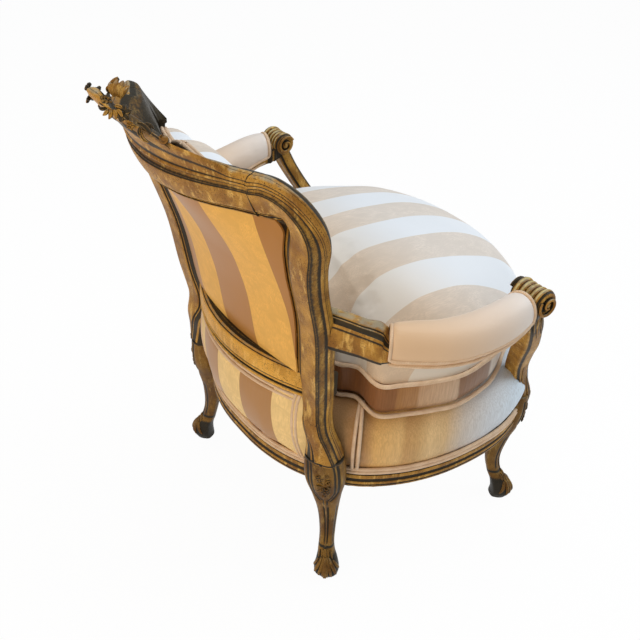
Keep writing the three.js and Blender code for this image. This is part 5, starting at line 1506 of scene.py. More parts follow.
@dataclass
class BackUpholstery:
    """The outside panel, the stuffed inside and the band under the back."""

    shop: Workshop

    def opening_half(self, height: float) -> float:
        """Half the width of the cloth in the back frame at a height."""
        lap = 0.003
        centre = SHOULDER_SHARE * CREST_HEIGHT - SHOULDER_RADIUS
        if height > centre:
            radius = SHOULDER_RADIUS - STILE_WIDTH / 2 + lap
            rise = min((height - centre) / radius, 1.0)
            return SHOULDER_HALF - SHOULDER_RADIUS - 0.004 + radius * math.sqrt(1 - rise * rise)
        rows = [(h * CREST_HEIGHT, x * SHOULDER_HALF - w * STILE_WIDTH / 2 + lap) for x, h, w in STILE]
        return between(rows + [(centre, SHOULDER_HALF - STILE_WIDTH / 2 - 0.004 + lap)], height)

    def panel(self) -> bpy.types.Object:
        """The outside panel: cloth stretched over the opening and let into the frame."""
        low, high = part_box("outside_back_panel")
        columns, rows = 90, 130
        stations = CrestRail(self.shop).stations()
        foot = LOWER_RAIL + LOWER_TALL / 2 - 0.006
        fronts, backs = [], []
        for r in range(rows + 1):
            share = r / rows
            z = foot + share * (high.z - 0.001 - foot)
            half = min(self.opening_half(z), high.x + 0.006)
            for c in range(columns + 1):
                side = 2 * c / columns - 1
                x = side * half
                inner = float(np.interp(x, stations[:, 0], stations[:, 1])) + 0.006 - 0.45 * crest_swell(x)
                top = min(z, inner)
                pull = (1 - side ** 8) * (1 - (2 * share - 1) ** 8)
                swell = crest_swell(x) * ease(top, 0.66, 0.80)
                y = back_face(x, top) - 0.0135 + 0.0022 * pull + swell
                fronts.append((x, y, top))
                backs.append((x, y - 0.003, top))
        count = len(fronts)
        faces = []
        wide = columns + 1
        for r in range(rows):
            for c in range(columns):
                a = r * wide + c
                faces.append((a, a + 1, a + wide + 1, a + wide))
                faces.append((count + a, count + a + wide, count + a + wide + 1, count + a + 1))
        rim = [c for c in range(columns)] + [r * wide + columns for r in range(rows)]
        rim += [rows * wide + c for c in range(columns, 0, -1)] + [r * wide for r in range(rows, 0, -1)]
        for a, b in zip(rim, rim[1:] + rim[:1]):
            faces.append((a, a + count, b + count, b))
        piece = self.shop.mesh_piece("back_panel_cloth", np.array(fronts + backs), faces)
        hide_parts("outside_back_panel")
        return piece

    def inside(self) -> bpy.types.Object:
        """The stuffed inside of the back."""
        shares = [
            (0, -0.1), (0.385, -0.09), (0.615, -0.07), (0.71, 0.06), (0.8, 0.287), (0.875, 0.475), (0.905, 0.6),
            (0.87, 0.655), (0.75, 0.675), (0.58, 0.685), (0.385, 0.705), (0.19, 0.755), (0, 0.785),
        ]
        half = [(x * SHOULDER_HALF, LOWER_RAIL + up * (CREST_HEIGHT - LOWER_RAIL)) for x, up in shares]
        outline = mirrored_outline(half, 200)
        middle = (LOWER_RAIL + CREST_HEIGHT) / 2
        levels = smooth_rows([
            (0.45, 0), (0.8, 0), (0.975, 0), (1, 0.16), (0.99, 0.4), (0.96, 0.62), (0.9, 0.8),
            (0.78, 0.93), (0.55, 0.99), (0.05, 1),
        ], 54)
        rings = []
        for scale, share in levels:
            ring = []
            for px, pz in outline:
                x, z = px * scale, middle + (pz - middle) * scale
                ring.append((x, back_face(x, z) - STILE_DEPTH - FIT_GAP - share * PAD_DEEP, z))
            rings.append(ring)
        piece = self.shop.skin("inside_back_cloth", np.array(rings), tips=True, crease=180)
        stuffing = Stuffing(self.shop, cap=0.003, voxel=0.006)
        stuffing.swell(piece)
        points = stuffing.points(piece)
        chair_y = points[:, 1] + self.shop.shift
        rear = np.array([back_face(x, z) for x, z in zip(points[:, 0], points[:, 2])])
        points[:, 1] = np.minimum(chair_y, rear - STILE_DEPTH - FIT_GAP) - self.shop.shift
        stuffing.put(piece, points)
        stuffing.finish(piece)
        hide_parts("inside_back_pad")
        return piece

    def inside_welts(self) -> list:
        """The double welt round the inside's edge, against the frame."""
        shares = [
            (0, -0.1), (0.385, -0.09), (0.615, -0.07), (0.71, 0.06), (0.8, 0.287), (0.875, 0.475), (0.905, 0.6),
            (0.87, 0.655), (0.75, 0.675), (0.58, 0.685), (0.385, 0.705), (0.19, 0.755), (0, 0.785),
        ]
        half = [(x * SHOULDER_HALF, LOWER_RAIL + up * (CREST_HEIGHT - LOWER_RAIL)) for x, up in shares]
        outline = mirrored_outline(half, 400)
        made = []
        for word, inset, forward in (("outer", 0.0012, 0.0042), ("inner", 0.0030, 0.0112)):
            line = [
                (x, back_face(x, z) - STILE_DEPTH - forward, z) for x, z in offset_outline(outline, -inset)
            ]
            made.append(self.shop.cord(f"inside_welt_{word}", np.array(line), 0.0034, closed=True))
        return made

    def band_face(self, x: float, up: float, bulge: float) -> tuple:
        """A point of the rear band's face at x and a share of its height."""
        top = LOWER_RAIL - LOWER_TALL / 2 - FIT_GAP
        foot = seat_rear_at(x) - 0.009
        head = lower_rail_rear(x) - LOWER_DEPTH * 0.3
        return x, foot + (head - foot) * up + bulge * 0.016, DECK_BASE + (top - DECK_BASE) * up

    def rear_band(self) -> list:
        """The stuffed band between the lower back rail and the seat rail, with its welts."""
        low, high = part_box("rear_seat_pad")
        rows = smooth_rows([(0, 0), (0.12, 0.5), (0.35, 1.0), (0.6, 1.05), (0.85, 0.65), (1, 0.1)], 30)
        rings = []
        for x in np.linspace(low.x, high.x, 121):
            ring = [self.band_face(x, up, bulge) for up, bulge in rows]
            ring += [tuple(np.array(self.band_face(x, up, 0)) - [0, 0.024, 0]) for up in (1, 0.6, 0.3)]
            rings.append(ring)
        piece = self.shop.skin("rear_band_cloth", np.array(rings), crease=60)
        stuffing = Stuffing(self.shop, cap=0.003)
        stuffing.swell(piece)
        made = []
        lines = []
        for side in (1, -1):
            for word, x in (("first", 0.1665), ("second", 0.1595)):
                line = [np.array(self.band_face(side * x, up, bulge)) + [0, 0.0012, 0] for up, bulge in rows]
                lines.append((f"{word}_{'left' if side > 0 else 'right'}", np.array(line)))
        xs = np.linspace(-0.158, 0.158, 90)
        for word, up, bulge in (("head", 0.965, 0.22), ("head_second", 0.915, 0.42)):
            lines.append((word, np.array([np.array(self.band_face(x, up, bulge)) + [0, 0.001, 0] for x in xs])))
        for word, line in lines:
            if "second" in word:
                stuffing.gather(piece, line, 0.0010, 0.016, 0.008)
            made.append(self.shop.cord(f"band_welt_{word}", line, 0.0034))
        stuffing.slacken(piece, 0.0012, 10.0)
        stuffing.finish(piece)
        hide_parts("rear_seat_pad")
        return [piece, *made]

    def build(self) -> tuple:
        """Make the back's cloth: the panel, the inside, the band and the welts."""
        band = self.rear_band()
        return self.panel(), self.inside(), band[0], band[1:] + self.inside_welts()


@dataclass
class ArmPad:
    """The stuffed pad on an arm, with a double welt round its foot."""

    shop: Workshop
    side: Side
    steps: int = 110

    def rings(self) -> np.ndarray:
        """The pad's sections from its rear end to its front end."""
        arm = Arm(self.shop, self.side)
        section = smooth_rows([*PAD_SECTION], 40)
        section = np.vstack([section, [(0.2, 0.0), (0, 0.0), (-0.2, 0.0)]])
        return arm.swept(arm.line(PAD_PATH, 0.058, 0.046), self.steps, section)

    def welt(self, ends: float, low: float) -> np.ndarray:
        """A welt's line: along one side, over an end, back along the other and over."""
        rings = self.rings()
        first, last = int(ends * self.steps), int((1 - ends) * self.steps)
        out, inner = int(low * 40), 40 - int(low * 40)
        there = rings[first:last + 1:4, out]
        over = rings[last, out:inner + 1:3]
        back = rings[last:first - 1:-4, inner]
        under = rings[first, inner:out - 1:-3]
        line = np.vstack([there, over, back, under])
        middle = rings.mean((0, 1))
        line[:, 2] += 0.0006
        return rounded(line + (line - middle) * 0.002, 3, closed=True)

    def build(self) -> list:
        """Make the pad and its welts."""
        rings = self.rings()
        count = len(rings)
        middles = rings.mean(1, keepdims=True)
        for r in range(count):
            end = min(r, count - 1 - r)
            if end < 11:
                keep = math.sqrt(1 - (1 - (end + 0.4) / 11.4) ** 2)
                rings[r] = middles[r] + (rings[r] - middles[r]) * (0.72 + 0.28 * keep)
        piece = self.shop.skin(f"arm_pad_cloth_{self.side.label}", rings, tips=True, crease=180)
        stuffing = Stuffing(self.shop, cap=0.003, voxel=0.004)
        stuffing.swell(piece)
        inner = self.welt(0.045, 0.085)
        stuffing.gather(piece, np.vstack([inner, inner[:1]]), 0.0007, 0.010, 0.006)
        stuffing.finish(piece)
        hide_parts(f"arm_pad_{self.side.label}")
        made = [piece]
        for word, line in (("outer", self.welt(0.012, 0.02)), ("inner", inner)):
            made.append(self.shop.cord(f"arm_welt_{word}_{self.side.label}", line, 0.0029, closed=True))
        return made


@dataclass(frozen=True)
class Nodes:
    """A material's node tree, with short ways to add to it."""

    material: bpy.types.Material

    @property
    def tree(self) -> bpy.types.NodeTree:
        """The node tree."""
        return self.material.node_tree

    @classmethod
    def new(cls, name: str) -> "Nodes":
        """Start a material with one shader."""
        material = bpy.data.materials.new(name)
        material.use_nodes = True
        return cls(material)

    @property
    def shader(self) -> bpy.types.Node:
        """The material's shader."""
        return self.tree.nodes["Principled BSDF"]

    def add(self, kind: str, **settings) -> bpy.types.Node:
        """Add a node and set those of its fields that it has."""
        node = self.tree.nodes.new(kind)
        for key, value in settings.items():
            if hasattr(node, key):
                setattr(node, key, value)
        return node

    def link(self, source, target) -> None:
        """Link one socket to another."""
        self.tree.links.new(source, target)

    def value(self, socket, given) -> None:
        """Set a socket's number, or link it to another socket."""
        if isinstance(given, bpy.types.NodeSocket):
            self.link(given, socket)
        else:
            socket.default_value = given

    def math(self, operation: str, first, second=0.0, clamp: bool = False):
        """A math node's result."""
        node = self.add("ShaderNodeMath", operation=operation, use_clamp=clamp)
        self.value(node.inputs[0], first)
        self.value(node.inputs[1], second)
        return node.outputs[0]

    def ramp(self, source, low: float, high: float):
        """Rise smoothly from 0 at low to 1 at high."""
        node = self.add("ShaderNodeMapRange", interpolation_type="SMOOTHSTEP")
        self.value(node.inputs["Value"], source)
        node.inputs["From Min"].default_value = low
        node.inputs["From Max"].default_value = high
        return node.outputs[0]

    def mix(self, share, first, second):
        """Mix two colours."""
        node = self.add("ShaderNodeMix", data_type="RGBA")
        self.value(node.inputs[0], share)
        for socket, colour in ((node.inputs[6], first), (node.inputs[7], second)):
            self.value(socket, colour if isinstance(colour, bpy.types.NodeSocket) else (*colour, 1.0))
        return node.outputs[2]

    def place(self, stretch: Sequence[float] = (1, 1, 1), turn: Sequence[float] = (0, 0, 0)):
        """Object coordinates, stretched and turned."""
        where = self.add("ShaderNodeTexCoord")
        mapping = self.add("ShaderNodeMapping")
        self.link(where.outputs["Object"], mapping.inputs["Vector"])
        mapping.inputs["Scale"].default_value = stretch
        mapping.inputs["Rotation"].default_value = turn
        return mapping.outputs[0]

    def noise(self, where, scale: float, detail: float = 4.0, rough: float = 0.55, warp: float = 0.0):
        """A noise texture's value."""
        node = self.add("ShaderNodeTexNoise")
        self.link(where, node.inputs["Vector"])
        node.inputs["Scale"].default_value = scale
        node.inputs["Detail"].default_value = detail
        node.inputs["Roughness"].default_value = rough
        node.inputs["Distortion"].default_value = warp
        return node.outputs[0]

    def attribute(self, name: str):
        """A piece's own number at each point."""
        node = self.add("ShaderNodeAttribute", attribute_name=name)
        return node.outputs["Fac"]

    def bump(self, height, strength: float, distance: float, under=None):
        """A bump from a height."""
        node = self.add("ShaderNodeBump")
        node.inputs["Strength"].default_value = strength
        node.inputs["Distance"].default_value = distance
        self.link(height, node.inputs["Height"])
        if under is not None:
            self.link(under, node.inputs["Normal"])
        return node.outputs[0]


@dataclass(frozen=True)
class AntiqueGilt:
    """Rubbed antique gold over dark glaze, with pale beads that are worn gilding and a painted highlight, and a
    painted sky reflection on faces that point up.
    """

    name: str = "antique_gilt"
    # brightness of this copy; the legs' copy sets it below 1 as painted shade
    shade: float = 1.0
    gold: tuple = (0.46, 0.235, 0.036)
    ochre: tuple = (0.25, 0.110, 0.015)
    bright: tuple = (0.78, 0.49, 0.13)
    glaze: tuple = (0.016, 0.014, 0.008)
    # painted sky reflection: the cool grey laid on faces that point up
    painted_sky_sheen: tuple = (0.30, 0.31, 0.24)
    # pale colour of worn gilding with a painted highlight, on places whose glaze is below zero
    worn_bead_and_highlight: tuple = (0.52, 0.43, 0.20)
    fleck: tuple = (0.045, 0.018, 0.004)

    def shaded(self, colour: tuple) -> tuple:
        """A colour scaled by this copy's shade factor; the legs' copy uses it for painted shade."""
        return tuple(part * self.shade for part in colour)

    def build(self) -> bpy.types.Material:
        """Make the material."""
        n = Nodes.new(self.name)
        where = n.place()
        broad = n.noise(where, 22, 3)
        body = n.mix(n.ramp(broad, 0.36, 0.66), self.shaded(self.ochre), self.shaded(self.gold))
        streak = n.noise(n.place((1, 1, 0.3)), 85, 6, 0.65)
        body = n.mix(n.math("MULTIPLY", n.ramp(streak, 0.50, 0.72), 0.8), body, self.shaded(self.bright))
        flecks = n.ramp(n.noise(where, 430, 4, 0.7), 0.56, 0.63)
        patch = n.ramp(n.noise(where, 30, 3), 0.38, 0.60)
        spotted = n.math("MULTIPLY_ADD", patch, 0.85)
        spotted.node.inputs[2].default_value = 0.15
        body = n.mix(n.math("MULTIPLY", flecks, spotted), body, self.fleck)
        cracks = n.ramp(n.noise(n.place((1, 1, 2.5)), 150, 3, 0.6, 1.5), 0.485, 0.5)
        crack = n.math("MULTIPLY", cracks, n.math("SUBTRACT", 1.0, n.ramp(n.noise(n.place((1, 1, 2.5)), 150, 3, 0.6, 1.5), 0.5, 0.515)))
        body = n.mix(n.math("MULTIPLY", crack, 0.7), body, self.fleck)
        # Painted sky reflection: faces that point up take the cool grey, broken up by noise.
        facing = n.add("ShaderNodeNewGeometry")
        split = n.add("ShaderNodeSeparateXYZ")
        n.link(facing.outputs["Normal"], split.inputs[0])
        upward = n.ramp(split.outputs["Z"], 0.62, 0.97)
        sheen_breakup = n.ramp(n.noise(where, 55, 4, 0.6), 0.36, 0.6)
        body = n.mix(n.math("MULTIPLY", n.math("MULTIPLY", upward, sheen_breakup), 0.6), body, self.painted_sky_sheen)
        dark = n.attribute("glaze")
        # Glaze below zero gives the pale colour: worn gilding with a painted highlight on beads and ridges.
        pale = n.ramp(n.math("MULTIPLY", dark, -1.0), 0.06, 0.3)
        body = n.mix(n.math("MULTIPLY", pale, n.ramp(n.noise(where, 90, 4, 0.6), 0.32, 0.52)), body, self.shaded(self.worn_bead_and_highlight))
        rough_edge = n.math("MULTIPLY_ADD", n.noise(where, 230, 4, 0.65), 0.5)
        rough_edge.node.inputs[2].default_value = -0.25
        dark = n.ramp(n.math("ADD", dark, rough_edge), 0.3, 0.72)
        colour = n.mix(n.math("MULTIPLY", dark, 0.96), body, self.glaze)
        n.link(colour, n.shader.inputs["Base Color"])
        n.shader.inputs["Metallic"].default_value = 0.0
        gloss = n.add("ShaderNodeMapRange")
        n.link(n.noise(where, 140, 3), gloss.inputs["Value"])
        gloss.inputs["To Min"].default_value = 0.34
        gloss.inputs["To Max"].default_value = 0.62
        n.link(gloss.outputs[0], n.shader.inputs["Roughness"])
        n.shader.inputs["Specular IOR Level"].default_value = 0.2
        grain = n.bump(n.noise(where, 380, 5, 0.65), 0.5, 0.0007)
        n.link(grain, n.shader.inputs["Normal"])
        return n.material


@dataclass(frozen=True)
class StripedSatin:
    """Silk-like cloth with satin stripes beside stripes of watered weave."""

    name: str
    satin: tuple
    moire: tuple
    stripe: float
    along: tuple = (1.0, 0.05, 1.0)
    satin_rough: float = 0.40
    moire_rough: float = 0.6
    contrast: float = 0.08
    middle: float = 0.0
    # painted warm light: the tint toward the rear and lower down, and where it starts and where it is full
    warm: tuple = (1.0, 1.0, 1.0)
    cool_from: float = 0.0
    warm_from: float = 1.0
    shift: float = 0.0

    def stripes(self, n: Nodes, where) -> tuple:
        """The cloth's colour and how much of it is satin."""
        split = n.add("ShaderNodeSeparateXYZ")
        n.link(where, split.inputs[0])
        across = n.math("SUBTRACT", split.outputs["X"], self.middle)
        wave = n.math("COSINE", n.math("MULTIPLY", across, math.pi / self.stripe))
        satin = n.ramp(wave, -0.02, 0.02)
        watered = n.noise(n.place(self.along), 700, 3, 0.6, 0.3)
        pools = n.noise(n.place((1, 0.35, 1)), 38, 3, 0.5, 1.2)
        figure = n.math("MULTIPLY", n.ramp(watered, 0.34, 0.66), n.ramp(pools, 0.3, 0.7))
        low = tuple(c * (1 - self.contrast) for c in self.moire)
        high = tuple(min(c * (1 + self.contrast), 0.95) for c in self.moire)
        plain = n.noise(where, 11, 2)
        satin_low = tuple(c * 0.94 for c in self.satin)
        colour = n.mix(satin, n.mix(figure, low, high), n.mix(plain, satin_low, self.satin))
        return colour, satin, watered

    def painted_warm_light(self, n: Nodes, colour):
        """Paint warm light onto the colour toward the rear of the chair and lower down."""
        if self.warm == (1.0, 1.0, 1.0):
            return colour
        split = n.add("ShaderNodeSeparateXYZ")
        n.link(n.place(), split.inputs[0])
        rearward = n.math("ADD", split.outputs["Y"], self.shift)
        share = n.ramp(
            n.math("SUBTRACT", rearward, n.math("MULTIPLY", split.outputs["Z"], 0.9)), self.cool_from, self.warm_from,
        )
        tint = n.mix(share, (1, 1, 1), self.warm)
        mix = n.add("ShaderNodeMix", data_type="RGBA", blend_type="MULTIPLY")
        mix.inputs[0].default_value = 1.0
        n.link(colour, mix.inputs[6])
        n.link(tint, mix.inputs[7])
        return mix.outputs[2]

    def build(self) -> bpy.types.Material:
        """Make the material."""
        n = Nodes.new(self.name)
        where = n.place()
        colour, satin, watered = self.stripes(n, where)
        n.link(self.painted_warm_light(n, colour), n.shader.inputs["Base Color"])
        rough = n.add("ShaderNodeMapRange")
        n.value(rough.inputs["Value"], satin)
        rough.inputs["To Min"].default_value = self.moire_rough
        rough.inputs["To Max"].default_value = self.satin_rough
        n.link(rough.outputs[0], n.shader.inputs["Roughness"])
        n.shader.inputs["Specular IOR Level"].default_value = 0.2
        n.shader.inputs["Sheen Weight"].default_value = 0.04
        n.shader.inputs["Sheen Roughness"].default_value = 0.45
        weave = n.noise(n.place((1, 1, 1)), 1500, 2, 0.6)
        ribs = n.bump(watered, 0.10, 0.0004)
        n.link(n.bump(weave, 0.10, 0.0002, ribs), n.shader.inputs["Normal"])
        return n.material


@dataclass(frozen=True)
class BandedSatin(StripedSatin):
    """The same cloth cut so that its stripes stand up and down round the seat, with side colours listed place by
    place that hold painted light and reflection as well as the stripes.
    """

    # side colours by place round the seat: the stripes, with painted light and reflection in them
    bands: tuple = ()
    low: float = -0.62
    high: float = -0.02
    crown_above: float = 9.0

    def stripes(self, n: Nodes, where) -> tuple:
        """The stripes that stand on the sides, and those of the crown above a height."""
        top, satin, watered = super().stripes(n, where)
        split = n.add("ShaderNodeSeparateXYZ")
        n.link(where, split.inputs[0])
        rearward = n.math("ADD", split.outputs["Y"], self.shift)
        run = n.math("SUBTRACT", rearward, n.math("ABSOLUTE", split.outputs["X"]))
        sway = n.math("MULTIPLY_ADD", n.noise(where, 16, 2), 0.012)
        sway.node.inputs[2].default_value = -0.006
        share = n.add("ShaderNodeMapRange")
        n.link(n.math("ADD", run, sway), share.inputs["Value"])
        share.inputs["From Min"].default_value = self.low
        share.inputs["From Max"].default_value = self.high
        bands = n.add("ShaderNodeValToRGB")
        n.link(share.outputs[0], bands.inputs[0])
        stops = bands.color_ramp.elements
        while len(stops) < len(self.bands):
            stops.new(0.5)
        for stop, (place, colour) in zip(stops, self.bands):
            stop.position = (place - self.low) / (self.high - self.low)
            stop.color = (*colour, 1)
        ribs = n.noise(n.place((1, 1, 0.04)), 420, 3, 0.6)
        shade = n.mix(n.ramp(ribs, 0.3, 0.7), (0.86, 0.84, 0.82), (1.06, 1.06, 1.06))
        ribbed = n.add("ShaderNodeMix", data_type="RGBA", blend_type="MULTIPLY")
        ribbed.inputs[0].default_value = 1.0
        n.link(bands.outputs[0], ribbed.inputs[6])
        n.link(shade, ribbed.inputs[7])
        height = n.ramp(split.outputs["Z"], self.crown_above - 0.0004, self.crown_above + 0.0004)
        return n.mix(height, ribbed.outputs[2], top), satin, watered


@dataclass(frozen=True)
class WeltCloth:
    """Cloth cut on the bias round a cord."""

    name: str = "welt_cloth"
    light: tuple = (0.80, 0.62, 0.44)
    dark: tuple = (0.60, 0.40, 0.24)

    def build(self) -> bpy.types.Material:
        """Make the material."""
        n = Nodes.new(self.name)
        run = n.attribute("run")
        turn = n.attribute("turn")
        slanted = n.math("ADD", n.math("MULTIPLY", run, 2600.0), n.math("MULTIPLY", turn, 12.566))
        twill = n.math("SINE", slanted)
        share = n.ramp(twill, -1, 1)
        where = n.place()
        share = n.math("MULTIPLY_ADD", share, 0.5)
        share.node.inputs[2].default_value = 0.25
        patch = n.noise(where, 60, 3)
        colour = n.mix(n.math("MULTIPLY", share, n.ramp(patch, 0.2, 0.7)), self.dark, self.light)
        n.link(colour, n.shader.inputs["Base Color"])
        n.shader.inputs["Roughness"].default_value = 0.62
        n.shader.inputs["Sheen Weight"].default_value = 0.05
        n.link(n.bump(twill, 0.25, 0.0003), n.shader.inputs["Normal"])
        return n.material


@dataclass(frozen=True)
class PlainStuff:
    """The unseen makings: raw timber, steel, jute and lining."""

    name: str
    light: tuple
    dark: tuple
    stretch: tuple
    scale: float
    rough: float
    metal: float = 0.0

    def build(self) -> bpy.types.Material:
        """Make the material."""
        n = Nodes.new(self.name)
        grain = n.noise(n.place(self.stretch), self.scale, 4, 0.6)
        n.link(n.mix(n.ramp(grain, 0.3, 0.7), self.dark, self.light), n.shader.inputs["Base Color"])
        n.shader.inputs["Roughness"].default_value = self.rough
        n.shader.inputs["Metallic"].default_value = self.metal
        n.link(n.bump(grain, 0.3, 0.0005), n.shader.inputs["Normal"])
        return n.material


@dataclass
class Studio:
    """The floor, the lights and the camera at the photograph's angle."""

    shift: float
    azimuth: float = 231.878
    elevation: float = 34.961
    roll: float = 3.160
    focal: float = 817.05
    spot: tuple = (-1.0427, 0.9082, 1.3418)
    picture: float = 640.0

    def camera(self) -> None:
        """Set the camera."""
        az, el, roll = (math.radians(v) for v in (self.azimuth, self.elevation, self.roll))
        back = Vector((math.sin(az) * math.cos(el), -math.cos(az) * math.cos(el), math.sin(el)))
        right = (-back).cross(Vector((0, 0, 1))).normalized()
        up = right.cross(-back)
        level = right * math.cos(roll) + up * math.sin(roll)
        upright = -right * math.sin(roll) + up * math.cos(roll)
        data = bpy.data.cameras.new("photo_camera")
        data.sensor_width = 36.0
        data.lens = 36.0 * self.focal / self.picture
        data.clip_end = 60.0
        camera = bpy.data.objects.new("photo_camera", data)
        turn = Matrix((level, upright, back)).transposed().to_4x4()
        spot = Vector(self.spot) - Vector((0, self.shift, 0))
        camera.matrix_world = Matrix.Translation(spot) @ turn
        bpy.context.scene.collection.objects.link(camera)
        bpy.context.scene.camera = camera

    def floor(self) -> None:
        """Lay a pale floor that shows white to the camera and keeps the shadow."""
        bpy.ops.object.select_all(action="DESELECT")
        bpy.ops.mesh.primitive_plane_add(size=30.0, location=(0, 0, -0.0008))
        floor = bpy.context.object
        floor.name = "pale_floor"
        n = Nodes.new("pale_floor")
        n.shader.inputs["Base Color"].default_value = (0.93, 0.93, 0.93, 1)
        n.shader.inputs["Roughness"].default_value = 0.9
        light = n.add("ShaderNodeLightPath")
        glow = n.add("ShaderNodeEmission")
        glow.inputs["Strength"].default_value = 1.0
        blend = n.add("ShaderNodeMixShader")
        shown = n.math("MAXIMUM", light.outputs["Is Camera Ray"], light.outputs["Is Glossy Ray"])
        n.link(n.math("MULTIPLY", shown, 0.965), blend.inputs[0])
        n.link(n.shader.outputs[0], blend.inputs[1])
        n.link(glow.outputs[0], blend.inputs[2])
        n.link(blend.outputs[0], n.tree.nodes["Material Output"].inputs["Surface"])
        floor.data.materials.append(n.material)

    def world(self) -> None:
        """A white surround that lights the chair softly."""
        world = bpy.data.worlds.new("studio")
        bpy.context.scene.world = world
        world.use_nodes = True
        tree = world.node_tree
        soft = tree.nodes["Background"]
        soft.inputs["Color"].default_value = (0.90, 0.95, 1.0, 1)
        soft.inputs["Strength"].default_value = 0.36
        white = tree.nodes.new("ShaderNodeBackground")
        white.inputs["Color"].default_value = (1, 1, 1, 1)
        white.inputs["Strength"].default_value = 1.0
        light = tree.nodes.new("ShaderNodeLightPath")
        blend = tree.nodes.new("ShaderNodeMixShader")
        tree.links.new(light.outputs["Is Camera Ray"], blend.inputs[0])
        tree.links.new(soft.outputs[0], blend.inputs[1])
        tree.links.new(white.outputs[0], blend.inputs[2])
        tree.links.new(blend.outputs[0], tree.nodes["World Output"].inputs["Surface"])

    def lamp(self, name: str, place: Sequence[float], aim: Sequence[float], size: float, power: float, tint: tuple) -> None:
        """Hang one soft lamp and aim it."""
        data = bpy.data.lights.new(name, "AREA")
        data.size = size
        data.energy = power
        data.color = tint
        lamp = bpy.data.objects.new(name, data)
        lamp.location = place
        lamp.rotation_euler = (Vector(aim) - Vector(place)).to_track_quat("-Z", "Y").to_euler()
        bpy.context.scene.collection.objects.link(lamp)

    def build(self) -> None:
        """Set up the studio."""
        self.camera()
        self.floor()
        self.world()
        self.lamp("window", (-1.2, -2.6, 2.6), (0, 0, 0.45), 2.2, 60, (0.86, 0.93, 1.0))
        self.lamp("room", (-0.9, 2.8, 1.5), (0, 0, 0.5), 1.8, 42, (1.0, 0.80, 0.56))
        self.lamp("overhead", (0.4, 0.0, 3.4), (0, 0, 0.4), 2.0, 38, (0.95, 0.97, 1.0))
        bpy.context.scene.view_settings.view_transform = "Standard"


def dress(pieces: Iterable[bpy.types.Object], material: bpy.types.Material) -> None:
    """Give pieces one material."""
    for piece in pieces:
        piece.data.materials.clear()
        piece.data.materials.append(material)


def dress_nodes(names: Iterable[str], material: bpy.types.Material) -> None:
    """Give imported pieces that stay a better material."""
    for name in names:
        for slot in bpy.data.objects[name].material_slots:
            slot.material = material


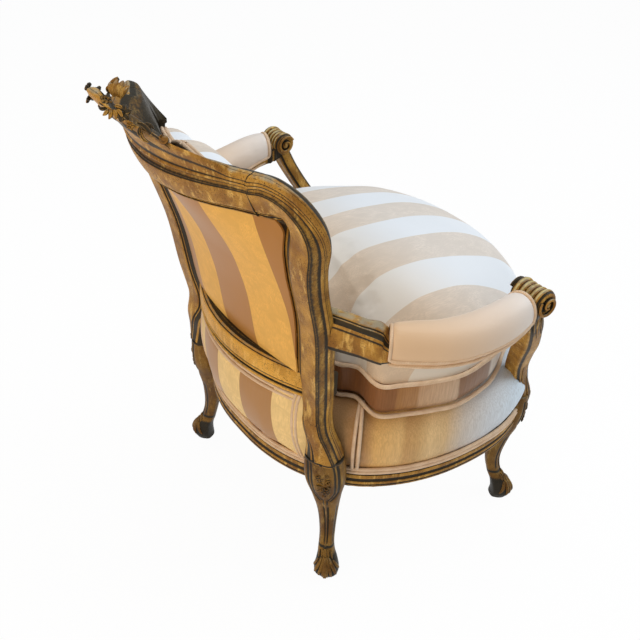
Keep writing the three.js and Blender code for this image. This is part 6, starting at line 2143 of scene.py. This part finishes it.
def main() -> None:
    """Build the chair, piece by piece, and dress it."""
    logging.basicConfig(level=logging.INFO, format="%(message)s")
    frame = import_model()
    foot = next(m for m in frame["record"]["mounts"] if m["name"] == "foot_rear_left")
    shop = Workshop(shift=REAR_FOOT[1] - foot["pos_m"][1])
    Studio(shop.shift).build()

    gilt = AntiqueGilt().build()
    wood = []
    for side in Side:
        wood += RearPost(shop, side).build()
        wood += FrontLeg(shop, side).build()
        wood += Arm(shop, side).build()
    wood += CrestRail(shop).build()
    wood += LowerBackRail(shop).build()
    wood += SeatRails(shop).build()
    dress(wood, gilt)
    # The legs and their carving get a copy at half brightness: painted shade on the lower frame.
    legs = [piece for piece in wood if piece.name.startswith(("rear_leg", "front_cabriole", "rear_carving", "front_carving"))]
    dress(legs, AntiqueGilt("antique_gilt_legs", 0.5).build())
    # The lower back rail gets a brighter gold copy: painted light.
    lower = [piece for piece in wood if piece.name.startswith("lower_rail")]
    dress(lower, AntiqueGilt("antique_gilt_rail", 1.0, (0.72, 0.38, 0.06), (0.50, 0.25, 0.035), (0.85, 0.52, 0.13)).build())
    carved = [piece for piece in wood if piece.name.startswith("crest_carving")]
    dress(carved, AntiqueGilt("antique_gilt_carving", 0.85, worn_bead_and_highlight=(0.62, 0.62, 0.54)).build())
    LOG.info("show-wood: %d pieces", len(wood))

    # The cushion's copy of the striped silk: its cool white satin is a painted reflection of the window, its colour
    # warms toward the rear as painted warm light, and its band colours carry painted light as well as the stripes.
    top_cloth = BandedSatin(
        "striped_satin_seat", (0.80, 0.82, 0.84), (0.72, 0.64, 0.56), 0.0585, middle=0.0497, shift=shop.shift,
        warm=(0.92, 0.80, 0.66), cool_from=-0.62, warm_from=-0.40, crown_above=SEAM_HIGH + 0.002,
        bands=(
            (-0.600, (0.62, 0.50, 0.38)), (-0.500, (0.62, 0.50, 0.38)), (-0.492, (0.72, 0.72, 0.72)),
            (-0.382, (0.72, 0.70, 0.68)), (-0.376, (0.30, 0.20, 0.15)), (-0.302, (0.28, 0.16, 0.09)),
            (-0.296, (0.62, 0.50, 0.40)), (-0.205, (0.56, 0.40, 0.27)), (-0.198, (0.42, 0.25, 0.12)),
            (-0.150, (0.40, 0.22, 0.09)), (-0.143, (0.28, 0.14, 0.06)), (-0.060, (0.26, 0.12, 0.05)),
        ),
    ).build()
    # The outside back's and the band's copies: the dark brown satin stripes are a painted reflection of a dark room,
    # and their warm gold is partly painted warm light.
    back_cloth_painted_light = StripedSatin(
        "striped_satin_back", (0.40, 0.175, 0.035), (0.77, 0.43, 0.10), 0.0985, along=(1.0, 1.0, 0.04),
        contrast=0.10, middle=-0.022,
    ).build()
    band_cloth = StripedSatin(
        "striped_satin_band", (0.42, 0.22, 0.085), (0.84, 0.60, 0.27), 0.080, along=(1.0, 1.0, 0.04),
        contrast=0.12, middle=-0.0775,
    ).build()
    # The deck's copy: its colours, listed place by place round the seat, carry painted reflection and painted warm
    # light as well as the stripes.
    side_cloth = BandedSatin(
        "striped_satin_side", (0.62, 0.50, 0.38), (0.70, 0.50, 0.28), 0.0585, shift=shop.shift, bands=(
            (-0.600, (0.62, 0.52, 0.42)), (-0.500, (0.68, 0.78, 0.86)), (-0.400, (0.62, 0.64, 0.66)),
            (-0.330, (0.60, 0.52, 0.44)), (-0.285, (0.66, 0.46, 0.24)), (-0.250, (0.74, 0.52, 0.26)),
            (-0.215, (0.58, 0.36, 0.15)), (-0.185, (0.56, 0.33, 0.13)), (-0.168, (0.72, 0.47, 0.20)),
            (-0.110, (0.70, 0.42, 0.15)), (-0.085, (0.42, 0.23, 0.09)),
        ),
    ).build()
    # The inside back's copy: its near white satin is a painted reflection of the window.
    pad_cloth = StripedSatin(
        "striped_satin_inside", (0.86, 0.88, 0.90), (0.70, 0.60, 0.50), 0.0985, middle=-0.0755,
    ).build()
    # The arm pads' copy: one pale cream without stripes, a painted reflection, warmed toward the rear as painted warm
    # light.
    arm_cloth = StripedSatin(
        "striped_satin_arm", (0.78, 0.72, 0.67), (0.76, 0.70, 0.64), 9.0, warm=(0.90, 0.68, 0.46),
        cool_from=-0.66, warm_from=-0.36, shift=shop.shift,
    ).build()
    welt = WeltCloth().build()

    cushion = LooseCushion(shop).build()
    dress(cushion[:1], top_cloth)
    dress(cushion[1:], welt)
    deck = StuffedDeck(shop).build()
    dress(deck[:1], side_cloth)
    dress(deck[1:], welt)
    panel, inside, band, welts = BackUpholstery(shop).build()
    dress([panel], back_cloth_painted_light)
    dress([band], band_cloth)
    dress([inside], pad_cloth)
    dress(welts, welt)
    pads = [ArmPad(shop, side).build() for side in Side]
    dress([pad[0] for pad in pads], arm_cloth)
    dress([cord for pad in pads for cord in pad[1:]], welt)

    beech = PlainStuff("raw_beech", (0.58, 0.41, 0.24), (0.45, 0.30, 0.16), (1, 6, 6), 30, 0.7).build()
    steel = PlainStuff("spring_steel", (0.50, 0.49, 0.47), (0.36, 0.35, 0.33), (1, 1, 1), 300, 0.38, 0.9).build()
    jute = PlainStuff("jute_webbing", (0.42, 0.29, 0.16), (0.28, 0.18, 0.09), (1, 1, 8), 300, 0.9).build()
    lining = PlainStuff("black_lining", (0.030, 0.028, 0.026), (0.016, 0.015, 0.014), (1, 1, 1), 700, 0.95).build()
    words = frame["nodes"]
    names = list(words) if not isinstance(words, dict) else list(words.keys())
    for start, finish in (("corner_block", beech), ("block_screw", steel), ("seat_spring", steel),
                          ("back_webbing", jute), ("seat_webbing", jute), ("dust_cover", lining)):
        dress_nodes([name for name in names if name.startswith(start)], finish)

    for piece in shop.made:
        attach(piece, "loose_cushion" if piece.name.startswith("cushion") else "chair_frame")
    LOG.info("new pieces: %d", len(shop.made))


if __name__ == "__main__":
    main()
